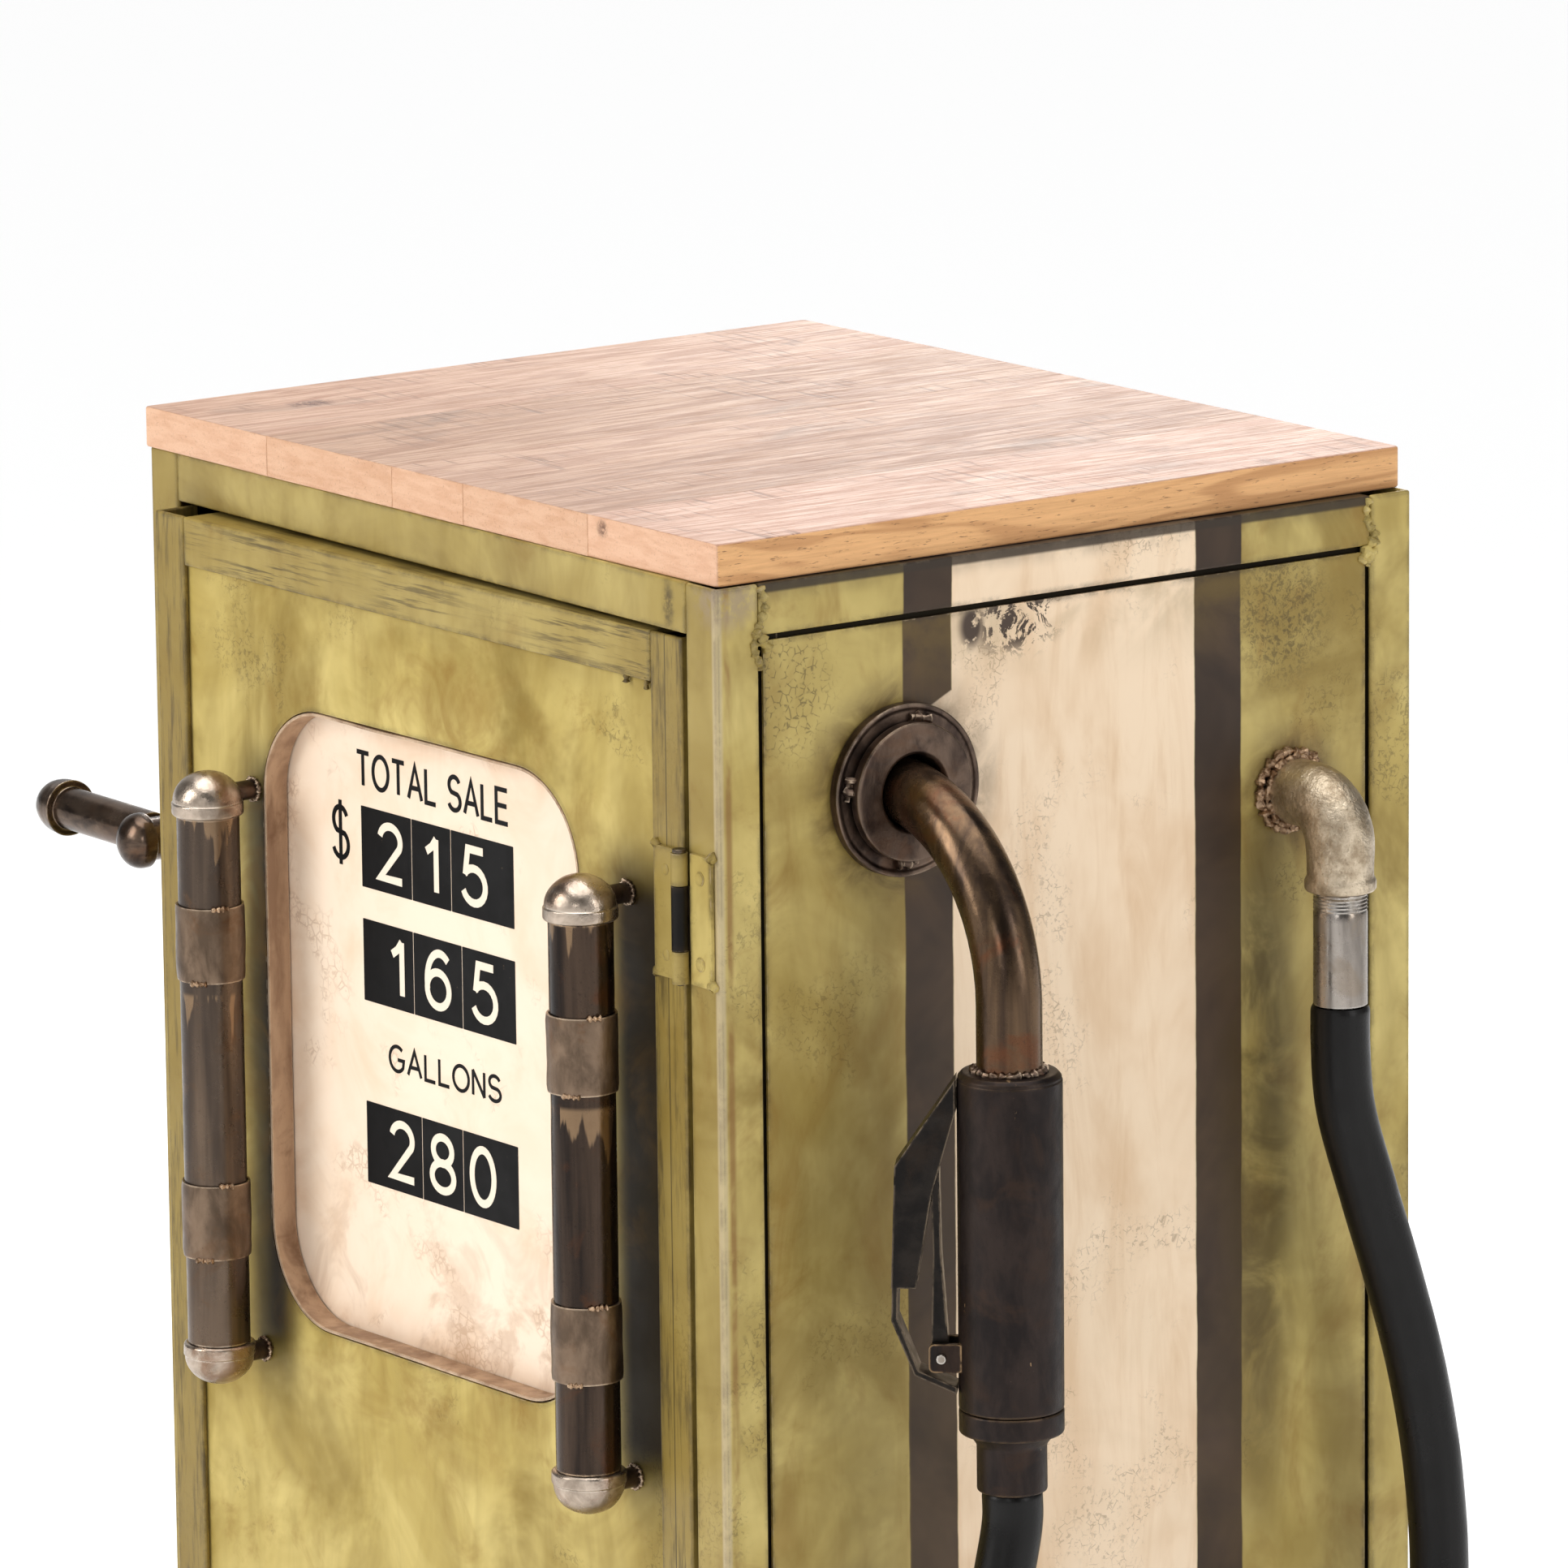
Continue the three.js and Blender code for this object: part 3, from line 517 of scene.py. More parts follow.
def dial_paint():
    p = Paint("dial_paint")
    haze = p.patch(0.4, 0.8, 0.06, 4, 0.6, 1.0)
    color = p.coat(rgb(252, 230, 206), rgb(236, 200, 164), haze, 0.55)
    smudge = p.times(p.patch(0.54, 0.66, 0.05, 4, 0.6, 0.6, shift=3),
                     p.top(p.cracks(0.006, 0.12), p.patch(0.5, 0.64, 0.0035, 3, 0.7)))
    color = p.coat(color, rgb(176, 132, 92), smudge, 0.42)
    border = p.times(p.border("dial_panel", "xz", 0.045), p.patch(0.35, 0.75, 0.04, 4, 0.6, 1))
    color = p.coat(color, rgb(212, 168, 124), border, 0.5)
    low = p.times(p.step(p.z, 0.74, 0.62), p.patch(0.45, 0.65, 0.04, 4, 0.65, 0.8, shift=8))
    color = p.coat(color, rgb(176, 132, 92), low, 0.4)
    return p.finish(color, 0.42, 0.0, p.bump(paint_height(p), 0.0001, 0.4))


def dial_ink(name, color):
    p = Paint(name)
    worn = p.patch(0.66, 0.72, 0.004, 5, 0.75)
    tone = p.coat(color, rgb(150, 126, 100), worn, 0.25)
    return p.finish(tone, p.step(p.noise(0.02, 3), 0.3, 0.7, 0.42, 0.56), Specular_IOR_Level=0.16)


def worn_metal(name, tones, rough, streak, chips=0.0, pit=0.0004, metallic=0.92, drips=()):
    """Lacquered steel: base tones in streaks, heat stains, bare highlights on its edges."""
    base, dark, warm, bright = (rgb(*tone) for tone in tones)
    p = Paint(name)
    tone = p.patch(0.34, 0.68, 0.014, 4, 0.6, 0.4, streak, 1)
    color = p.mix(tone, base, dark)
    heat = p.patch(0.5, 0.68, 0.035, 4, 0.65, 0.9, shift=4)
    color = p.coat(color, warm, heat, 0.6)
    flecks = p.patch(0.6, 0.68, 0.0022, 4, 0.75, shift=6)
    color = p.coat(color, dark, flecks, 0.45)
    shine = p.times(p.edges(0.0016), p.patch(0.34, 0.55, 0.012, 4, 0.7, shift=9))
    if chips:
        flake = p.patch(1 - chips, 1.03 - chips, 0.013, 5, 0.75, 0.6, (1, 1, 0.4), 14)
        shine = p.top(shine, flake)
    color = p.coat(color, bright, shine, 0.75)
    for top in drips:
        column = p.noise(0.0078, 3, 0.5, 0.3, (1, 1, 0.12), 30)
        reach = p.minus(column, p.times(p.minus(top, p.z), 8.5))
        run = p.times(p.step(reach, 0.47, 0.52), p.step(p.z, top + 0.004, top + 0.001))
        color = p.coat(color, rgb(166, 136, 104), run, 0.5)
    roughness = p.step(p.noise(0.01, 4, 0.65, shift=12), 0.3, 0.72, *rough)
    height = p.plus(p.times(p.noise(0.0012, 3, 0.6), 0.4), p.noise(0.008, 3, 0.6))
    return p.finish(color, roughness, metallic, p.bump(height, pit, 0.5))


def cast_iron():
    """Malleable iron as it comes from the sand, plated and dulled."""
    p = Paint("cast_iron")
    color = p.mix(p.patch(0.35, 0.7, 0.012, 5, 0.65), rgb(206, 190, 166), rgb(150, 132, 108))
    pits = p.patch(0.56, 0.7, 0.0016, 4, 0.7)
    color = p.coat(color, rgb(92, 74, 52), pits, 0.5)
    height = p.plus(p.noise(0.0022, 4, 0.7), p.times(p.noise(0.009, 3, 0.6), 1.5))
    return p.finish(color, p.step(p.noise(0.006, 3), 0.3, 0.7, 0.28, 0.44), 0.94, p.bump(height, 0.0009, 0.7))


def weld_metal():
    """Brazed and heat-tinted weld: coppery with bright ripples."""
    p = Paint("weld_metal")
    color = p.mix(p.patch(0.35, 0.65, 0.006, 4, 0.7, 0.8), rgb(198, 168, 138), rgb(104, 76, 52))
    spots = p.patch(0.56, 0.66, 0.0025, 4, 0.7, shift=5)
    color = p.coat(color, rgb(58, 48, 38), spots, 0.5)
    return p.finish(color, 0.3, 0.9, p.bump(p.noise(0.0018, 4, 0.7), 0.0008, 0.8))


def hose_rubber():
    p = Paint("hose_rubber")
    dust = p.patch(0.5, 0.8, 0.02, 5, 0.7, 0.3, (1, 1, 0.25))
    color = p.coat(rgb(11, 9, 8), rgb(32, 27, 24), dust, 0.25)
    height = p.plus(p.noise(0.0014, 3, 0.6), p.noise(0.012, 3, 0.6, 0, (1, 1, 0.2)))
    rough = p.step(p.noise(0.02, 4, 0.6), 0.3, 0.7, 0.26, 0.42)
    return p.finish(color, rough, 0.0, p.bump(height, 0.0002, 0.5), Specular_IOR_Level=0.24)


def foot_rubber():
    p = Paint("foot_rubber")
    color = p.mix(p.patch(0.4, 0.7, 0.01, 4), rgb(32, 30, 29), rgb(62, 58, 54))
    return p.finish(color, 0.62, 0.0, p.bump(p.noise(0.0012, 3), 0.0003, 0.6))


def mango_wood(index, light, mid, deep):
    """One board of the top: grain runs front to back, with saw marks across it and pores."""
    p = Paint(f"mango_wood_{index}")
    shift = index * 2.7
    figure = p.noise(0.045, 3, 0.6, 1.1, (1, 0.10, 1), shift)
    ring = p.step(p.math("SINE", p.times(figure, 46)), -0.7, 1.0)
    fibre = p.patch(0.3, 0.75, 0.0016, 4, 0.7, 0.1, (1, 0.035, 1), shift)
    color = p.mix(ring, light, mid)
    color = p.coat(color, deep, fibre, 0.6)
    broad = p.patch(0.5, 0.74, 0.09, 4, 0.6, 0.9, (1, 0.35, 1), shift + 5)
    color = p.coat(color, rgb(168, 128, 100), broad, 0.7)
    grey = p.patch(0.55, 0.72, 0.06, 4, 0.65, 0.6, (0.8, 0.4, 1), shift + 8)
    color = p.coat(color, rgb(138, 112, 94), grey, 0.7)
    saw = p.patch(0.52, 0.68, 0.0042, 3, 0.7, 0.05, (0.08, 1, 1), shift + 1)
    sawn = p.patch(0.45, 0.62, 0.07, 3, 0.6, 0.2, (1, 0.6, 1), shift + 12)
    color = p.coat(color, rgb(112, 80, 60), saw, sawn, 0.62)
    pores = p.patch(0.6, 0.7, 0.0011, 3, 0.7, 0, (1, 0.12, 1), shift + 2)
    color = p.coat(color, rgb(128, 90, 64), pores, 0.4)
    geometry = p.node("ShaderNodeNewGeometry")
    facing = p.node("ShaderNodeSeparateXYZ")
    p.put(facing.inputs[0], geometry.outputs["Normal"])
    flank = p.step(p.math("ABSOLUTE", facing.outputs[0]), 0.6, 0.9)
    honey = p.mix(ring, rgb(230, 176, 118), rgb(202, 148, 94))
    honey = p.coat(honey, rgb(96, 62, 40), pores, 0.7)
    honey = p.coat(honey, rgb(150, 106, 68), fibre, 0.3)
    color = p.mix(flank, color, honey)
    end = p.step(p.math("ABSOLUTE", facing.outputs[1]), 0.6, 0.9)
    arcs = p.patch(0.35, 0.7, 0.0045, 4, 0.6, 0.5, (0.22, 1, 1), shift)
    grain = p.mix(arcs, rgb(238, 194, 160), rgb(222, 172, 136))
    specks = p.patch(0.58, 0.68, 0.0012, 3, 0.7, shift=shift)
    grain = p.coat(grain, rgb(150, 104, 76), specks, 0.4)
    color = p.mix(end, color, p.mix(0.3, grain, mid))
    for spot, size in (((0.171, DOOR_FACE, 1.0545), 0.006), ((-0.185, -0.115, 1.060), 0.011)):
        knot = p.times(p.near(spot, size * 0.3, size, (1, 0.6, 1)), p.patch(0.3, 0.6, 0.003, 4, 0.7, 1))
        color = p.coat(color, rgb(86, 50, 34), knot, 0.85)
    edge = p.times(p.edges(0.0016), p.patch(0.4, 0.6, 0.01, 4, 0.7))
    color = p.coat(color, rgb(150, 98, 68), edge, 0.5)
    hollows = p.plus(p.times(pores, -1.0), p.times(saw, sawn, -0.8))
    height = p.plus(p.times(fibre, -0.5), hollows)
    return p.finish(color, p.step(fibre, 0, 1, 0.5, 0.66), 0.0, p.bump(height, 0.00025, 0.6))


SHELF_TONES = (rgb(222, 186, 156), rgb(204, 164, 132), rgb(172, 130, 100))
BOARD_TONES = (
    (rgb(210, 171, 145), rgb(190, 148, 122), rgb(148, 104, 80)),
    (rgb(196, 157, 128), rgb(172, 130, 101), rgb(134, 92, 68)),
    (rgb(204, 165, 137), rgb(182, 140, 112), rgb(144, 101, 78)),
    (rgb(190, 149, 120), rgb(168, 126, 97), rgb(130, 89, 66)),
    (rgb(214, 173, 149), rgb(196, 152, 126), rgb(158, 111, 88)),
)

# Looks by name, each kept with the name of a slot in the record.
LOOKS = {}
# The heights that bright runs start from on the tubes: the cap's rim and the collar's lower edge.
DRIPS = (0.87, 0.777)


def look(slot, material):
    LOOKS[material.name] = (material, slot)
    return material.name


def metal(slot, *settings, **more):
    return look(slot, worn_metal(*settings, **more))


GREEN = look("green_paint", green_paint())
# near-black paint on the strips in the side panels' slots: painted shade
SLOT_SHADE = look("green_paint", slot_shade_paint())
POST = look("green_paint", post_paint())
HINGE_LEAF = look("green_paint", hinge_paint())
STILE = look("green_paint", stile_paint())
RAIL = look("green_paint", rail_paint())
SKIN = look("green_paint", skin_paint())
SIDE = look("striped_paint", side_paint())
SIDE_RAIL = look("striped_paint", side_rail_paint())
DIAL = look("dial_paint", dial_paint())
INK = look("dial_paint", dial_ink("dial_black", rgb(6, 5, 5)))
DIGIT = look("dial_paint", dial_ink("dial_cream", rgb(244, 230, 210)))
BRONZE = metal("bronze_steel", "bronze_steel", ((108, 86, 65), (62, 49, 40), (100, 60, 38), (232, 210, 180)),
               (0.2, 0.34), (1, 1, 0.06), pit=0.0002)
LEFT_TUBE = metal("bronze_steel", "left_tube_steel",
                  ((106, 90, 76), (72, 62, 55), (98, 74, 54), (236, 214, 190)),
                  (0.24, 0.38), (1, 1, 0.05), pit=0.0002, drips=DRIPS)
RIGHT_TUBE = metal("bronze_steel", "right_tube_steel",
                   ((76, 62, 52), (36, 31, 29), (84, 54, 36), (232, 200, 166)),
                   (0.18, 0.3), (1, 1, 0.06), 0.3, 0.0002, drips=DRIPS)
NICKEL = metal("nickel_steel", "nickel_steel",
               ((196, 180, 164), (148, 134, 120), (120, 84, 58), (250, 240, 226)),
               (0.22, 0.4), (1, 1, 1), 0.0, 0.0006, 0.96)
COLLAR = metal("gunmetal", "collar_steel", ((128, 108, 90), (88, 73, 60), (104, 74, 50), (236, 212, 184)),
               (0.3, 0.46), (1, 1, 0.5))
GUNMETAL = metal("gunmetal", "gunmetal", ((104, 87, 75), (58, 47, 42), (92, 68, 52), (214, 192, 166)),
                 (0.3, 0.46), (1, 1, 0.6))
RIM = metal("gunmetal", "rim_steel", ((190, 158, 128), (150, 118, 92), (116, 82, 56), (240, 220, 190)),
            (0.4, 0.56), (1, 1, 0.3), metallic=0.35)
NOZZLE = metal("gunmetal", "nozzle_steel", ((48, 38, 34), (28, 22, 21), (56, 40, 30), (196, 160, 118)),
               (0.36, 0.52), (1, 1, 0.4), 0.35, 0.0004, 0.75)
BLACK = metal("black_steel", "black_steel", ((38, 33, 29), (22, 19, 17), (40, 30, 22), (150, 132, 110)),
              (0.26, 0.44), (1, 1, 1), 0.0, 0.0003, 0.8)
CRANK = metal("black_steel", "crank_steel", ((112, 94, 80), (46, 38, 34), (96, 70, 52), (238, 222, 200)),
              (0.16, 0.3), (0.4, 0.4, 1), 0.33, 0.0003, 0.9)
ZINC = metal("zinc_steel", "zinc_steel", ((168, 160, 152), (124, 117, 110), (138, 124, 108), (250, 246, 240)),
             (0.22, 0.36), (1, 1, 0.15), 0.0, 0.0002, 0.96)
CAST = look("cast_iron", cast_iron())
WELD = look("cast_iron", weld_metal())
RUBBER = look("hose_rubber", hose_rubber())
FOOT = look("foot_rubber", foot_rubber())
SHELF = look("mango_wood", mango_wood(7, *SHELF_TONES))
BOARDS = [look("mango_wood", mango_wood(i, *tones)) for i, tones in enumerate(BOARD_TONES)]


# ---------- mesh helpers ----------
def mesh_of(points, faces, sharp=35):
    mesh = bpy.data.meshes.new("mesh")
    mesh.from_pydata(points, [], faces)
    build = bmesh.new()
    build.from_mesh(mesh)
    bmesh.ops.recalc_face_normals(build, faces=build.faces)
    build.to_mesh(mesh)
    build.free()
    mesh.shade_smooth()
    mesh.set_sharp_from_angle(angle=math.radians(sharp))
    return mesh


def piece(name, mesh, look_name, body, stands_for=()):
    """Adds a mesh in the frame's own coordinates as a piece of the object."""
    mesh.name = name
    obj = bpy.data.objects.new(name, mesh)
    bpy.context.scene.collection.objects.link(obj)
    material, slot = LOOKS[look_name]
    mesh.materials.clear()
    mesh.materials.append(material)
    if body:
        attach(obj, body)
    if stands_for:
        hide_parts(*stands_for)
    return obj


def filleted(points, radius, steps=4, closed=False):
    """A path with its corners rounded; a corner takes less where its sides are short."""
    made = []
    last = len(points) - 1
    for i, here in enumerate(points):
        here = Vector(here)
        if not closed and i in (0, last):
            made.append(here)
            continue
        before, after = Vector(points[i - 1]), Vector(points[(i + 1) % len(points)])
        reach = min(radius, (here - before).length * 0.48, (after - here).length * 0.48)
        start = here + (before - here).normalized() * reach
        end = here + (after - here).normalized() * reach
        for k in range(steps + 1):
            t = k / steps
            made.append(start * (1 - t) ** 2 + here * 2 * t * (1 - t) + end * t * t)
    return made


def dome(radius, start, height, steps=14):
    """Profile of a domed head: (radius, along) points from its rim to its tip."""
    turns = [math.pi / 2 * k / steps for k in range(steps + 1)]
    return [(radius * math.cos(t) if t < 1.57 else 0.0, start + height * math.sin(t)) for t in turns]


def lathe(profile, origin, axis, sides=72, loop=False, dents=0.0, seed=0):
    """Turns (radius, along) points about an axis. A loop profile closes on itself."""
    axis = Vector(axis).normalized()
    side = axis.orthogonal().normalized()
    other = axis.cross(side)
    origin = Vector(origin)
    points, rings = [], []
    for radius, along in profile:
        centre = origin + axis * along
        if radius < 1e-7:
            rings.append([len(points)])
            points.append(centre)
            continue
        rings.append(list(range(len(points), len(points) + sides)))
        for k in range(sides):
            turn = 2 * math.pi * k / sides
            out = side * math.cos(turn) + other * math.sin(turn)
            push = dents * noise.noise((centre + out * radius) * 90 + Vector((seed, 0, 0))) if dents else 0
            points.append(centre + out * (radius + push))
    faces = []
    pairs = list(zip(rings, rings[1:])) + ([(rings[-1], rings[0])] if loop else [])
    for a, b in pairs:
        for k in range(sides):
            n = (k + 1) % sides
            corners = [a[k % len(a)], a[n % len(a)], b[n % len(b)], b[k % len(b)]]
            corners = list(dict.fromkeys(corners))
            if len(corners) > 2:
                faces.append(corners)
    return mesh_of(points, faces)


def turned(name, profile, origin, axis, look_name, body, node=None, **shape):
    """A lathed piece that stands for a CAD node, or for none."""
    return piece(name, lathe(profile, origin, axis, **shape), look_name, body, [node] if node else ())


def quarter_bend(start, bend, steps):
    """Points of a bend that sets out along +X from its start and ends straight down."""
    turns = [math.pi / 2 * k / steps for k in range(steps + 1)]
    return [start + Vector((bend * math.sin(t), 0, -bend * (1 - math.cos(t)))) for t in turns]


def across_axes(x):
    """Axes for a slab that is drawn in (y, z) and pushed out along +X from x."""
    return Matrix(((0, 0, 1, x), (1, 0, 0, 0), (0, 1, 0, 0), (0, 0, 0, 1)))


def frames_along(points):
    """Two directions square to a path at each of its points, carried along without twisting."""
    tangents = []
    for i in range(len(points)):
        ahead = points[min(i + 1, len(points) - 1)] - points[max(i - 1, 0)]
        tangents.append(ahead.normalized())
    side = tangents[0].orthogonal().normalized()
    made = []
    for tangent in tangents:
        side = (side - tangent * side.dot(tangent)).normalized()
        made.append((side, tangent.cross(side)))
    return made


def swept(points, radii, sides=48, bore=None, lumps=0.0, seed=0):
    """A round tube along a path. With a bore it is hollow, and lumps roughen its skin."""
    points = [Vector(p) for p in points]
    frames = frames_along(points)
    verts, rings = [], []
    stations = [(p, f, r) for p, f, r in zip(points, frames, radii)]
    if bore:
        stations += [(p, f, bore) for p, f in zip(reversed(points), reversed(frames))]
    for centre, (side, other), radius in stations:
        rings.append(list(range(len(verts), len(verts) + sides)))
        for k in range(sides):
            turn = 2 * math.pi * k / sides
            out = side * math.cos(turn) + other * math.sin(turn)
            place = centre + out * radius
            push = lumps * noise.noise(place * 420 + Vector((seed * 3.1, 0, 0))) if lumps else 0
            verts.append(place + out * push)
    faces = []
    pairs = list(zip(rings, rings[1:])) + ([(rings[-1], rings[0])] if bore else [])
    for a, b in pairs:
        faces += [[a[k], a[(k + 1) % sides], b[(k + 1) % sides], b[k]] for k in range(sides)]
    if not bore:
        faces += [list(reversed(rings[0])), rings[-1]]
    return mesh_of(verts, faces)


def slab(outline, depth, place):
    """An outline in (u, v) pushed out by depth, then moved by a matrix whose columns are u, v, out."""
    count = len(outline)
    points = [Vector((p[0], p[1], 0)) for p in outline] + [Vector((p[0], p[1], depth)) for p in outline]
    faces = [list(range(count)), [count + k for k in reversed(range(count))]]
    faces += [[k, k + count, (k + 1) % count + count, (k + 1) % count] for k in range(count)]
    return mesh_of([place @ p for p in points], faces)


def joined(*meshes):
    build = bmesh.new()
    for mesh in meshes:
        build.from_mesh(mesh)
    whole = bpy.data.meshes.new("mesh")
    build.to_mesh(whole)
    build.free()
    whole.shade_smooth()
    whole.set_sharp_from_angle(angle=math.radians(35))
    return whole


def even_shading(obj):
    """Keeps flat faces flat and lets the rounded edges blend into them."""
    shading = obj.modifiers.new("even_shading", "WEIGHTED_NORMAL")
    shading.weight = 80
    return obj


def refined(node, look_name, edge=0.0008, segments=3):
    """A CAD node again, with its faces joined up and its edges rounded as real metal's are."""
    source = NODES[node]
    build = bmesh.new()
    build.from_mesh(source.data)
    bmesh.ops.remove_doubles(build, verts=build.verts, dist=0.01 * MM)
    bmesh.ops.dissolve_limit(build, angle_limit=math.radians(0.6), verts=build.verts, edges=build.edges)
    corners = [e for e in build.edges if len(e.link_faces) == 2 and e.calc_face_angle(0) > math.radians(32)]
    bmesh.ops.bevel(build, geom=corners, offset=edge, segments=segments, profile=0.5,
                    affect="EDGES", clamp_overlap=True)
    mesh = bpy.data.meshes.new(node + "_fine")
    build.to_mesh(mesh)
    build.free()
    mesh.shade_smooth()
    return even_shading(piece(node + "_fine", mesh, look_name, source["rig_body"], [node]))


def to_door(mesh):
    """Turns a mesh made for the closed door to where the door stands."""
    turn = Matrix.Rotation(DOOR_AJAR, 4, "Z")
    mesh.transform(Matrix.Translation(HINGE) @ turn @ Matrix.Translation(-HINGE))
    return mesh


def bead(name, path, radius, body, look_name, seed, closed=False):
    """A weld bead: an uneven rope of metal, half sunk in what it joins."""
    chance = random.Random(seed)
    path = [Vector(p) for p in path]
    if closed:
        path.append(path[0])
    points, radii = [], []
    for a, b in zip(path, path[1:]):
        count = max(2, int((b - a).length / (radius * 0.35)))
        for k in range(count):
            points.append(a.lerp(b, k / count))
            radii.append(radius * (0.82 + 0.26 * math.sin(len(radii) * 1.3) + chance.uniform(-0.12, 0.12)))
    points.append(path[-1])
    radii.append(radius * 0.6)
    radii[0] = radius * 0.6
    mesh = swept(points, radii, 14, lumps=radius * 0.45, seed=seed)
    return piece(name, mesh, look_name, body)


def ring_path(centre, axis, radius, count=40, wander=0.0, seed=0):
    chance = random.Random(seed)
    axis = Vector(axis).normalized()
    side = axis.orthogonal().normalized()
    other = axis.cross(side)
    made = []
    for k in range(count):
        turn = 2 * math.pi * k / count
        reach = radius + chance.uniform(-wander, wander)
        made.append(Vector(centre) + (side * math.cos(turn) + other * math.sin(turn)) * reach)
    return made


def smooth_path(points, per_span=10):
    """A centripetal Catmull-Rom curve through the points."""
    ends = [points[0] * 2 - points[1], *points, points[-1] * 2 - points[-2]]
    made = []
    for a, b, c, d in zip(ends, ends[1:], ends[2:], ends[3:]):
        times = [0.0]
        for first, second in ((a, b), (b, c), (c, d)):
            times.append(times[-1] + (second - first).length ** 0.5)
        t0, t1, t2, t3 = times
        for k in range(per_span):
            t = t1 + (t2 - t1) * k / per_span
            ab = a.lerp(b, (t - t0) / (t1 - t0))
            bc = b.lerp(c, (t - t1) / (t2 - t1))
            cd = c.lerp(d, (t - t2) / (t3 - t2))
            first_arc = ab.lerp(bc, (t - t0) / (t2 - t0))
            second_arc = bc.lerp(cd, (t - t1) / (t3 - t1))
            made.append(first_arc.lerp(second_arc, (t - t1) / (t2 - t1)))
    made.append(points[-1])
    return made


# ---------- hose ----------
def build_hose():
    route = smooth_path([(Vector(p) + CENTRE) * MM for p in HOSE_ROUTE], 12)
    radius = HOSE_DIAMETER / 2
    radii = [radius] * len(route)
    for k, inset in enumerate((0.9, 0.2)):
        radii[k] = radii[-1 - k] = radius - inset * MM
    mesh = swept(route, radii, 48)
    hose = piece("hose", mesh, RUBBER, None, ["fuel_hose"])
    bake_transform(hose)


# ---------- cabinet ----------
def build_cabinet():
    for end in ("front", "rear"):
        for side in ("left", "right"):
            refined(f"post_{end}_{side}", POST, 0.0014)
            foot = f"foot_{end}_{side}"
            profile = filleted([(0, 0), (0.0125, 0), (0.014, 0.002), (0.014, 0.008), (0, 0.008)], 0.0008)
            turned(f"{foot}_pad", profile, underside(foot), UP, FOOT, "cabinet", foot, sides=40)
        refined(f"top_rail_{end}", GREEN, 0.0011)
    refined("top_rail_left", GREEN, 0.0011)
    refined("top_rail_right", SIDE_RAIL, 0.0011)
    refined("right_panel", SIDE, 0.0004, 2)
    refined("left_panel", GREEN, 0.0004, 2)
    for node in ("back_panel", "bottom_tray", "shelf_rail_left", "shelf_rail_right"):
        refined(node, GREEN, 0.0004, 2)
    refined("shelf", SHELF, 0.0012)
    refined("door_catch", BLACK, 0.0012)


def build_lips():
    """Steel strips inside the cabinet that the side panels are tacked to, behind their open slots, painted
    near black as painted shade seen through the slots.
    """
    width, thick, lap = 0.016, 0.0008, 0.006
    for side, sx in (("right", 1), ("left", -1)):
        low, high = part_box(f"{side}_panel")
        x = (low.x - 0.0022) if sx > 0 else (high.x + 0.0022 - thick)
        axes = across_axes(x)
        y0, y1, z0, z1 = low.y - lap, high.y + lap, low.z - lap, high.z + lap
        spans = ((y0, y0 + width, z0, z1), (y1 - width, y1, z0, z1),
                 (y0 + width, y1 - width, z1 - width, z1), (y0 + width, y1 - width, z0, z0 + width))
        strips = []
        for a, b, c, d in spans:
            outline = filleted([(a, c), (b, c), (b, d), (a, d)], 0.001, 2, True)
            strips.append(slab(outline, thick, axes))
        piece(f"{side}_slot_shade_strip", joined(*strips), SLOT_SHADE, "cabinet")


def build_seams():
    """Weld beads down the joints of posts, rails and panels at the top corners of both sides."""
    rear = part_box("post_rear_right")[0].y
    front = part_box("post_front_right")[1].y
    for side, sx in (("right", 1), ("left", -1)):
        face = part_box(f"post_front_{side}")[1 if sx > 0 else 0].x
        for end, y, drop, lean in (("front", front, 0.040, 1), ("rear", rear, 0.034, -1)):
            chance = random.Random(f"{side} {end}")
            path = []
            for k in range(9):
                down = drop * k / 8
                sway = lean * 0.003 * math.sin(k * 0.9) + chance.uniform(-0.0008, 0.0008)
                path.append((face - sx * 0.0004, y + sway, 1.0375 - down))
            bead(f"seam_{side}_{end}", path, 0.0025, "cabinet", POST, len(side) + len(end))
            inward = 0.0035 if end == "front" else -0.0035
            blot = [(face - sx * 0.0008, y + inward * t, 1.0145 - 0.005 * t) for t in (-0.6, 0.2, 1.0, 1.7)]
            bead(f"corner_weld_{side}_{end}", blot, 0.0034, "cabinet", POST, 5 + len(end))


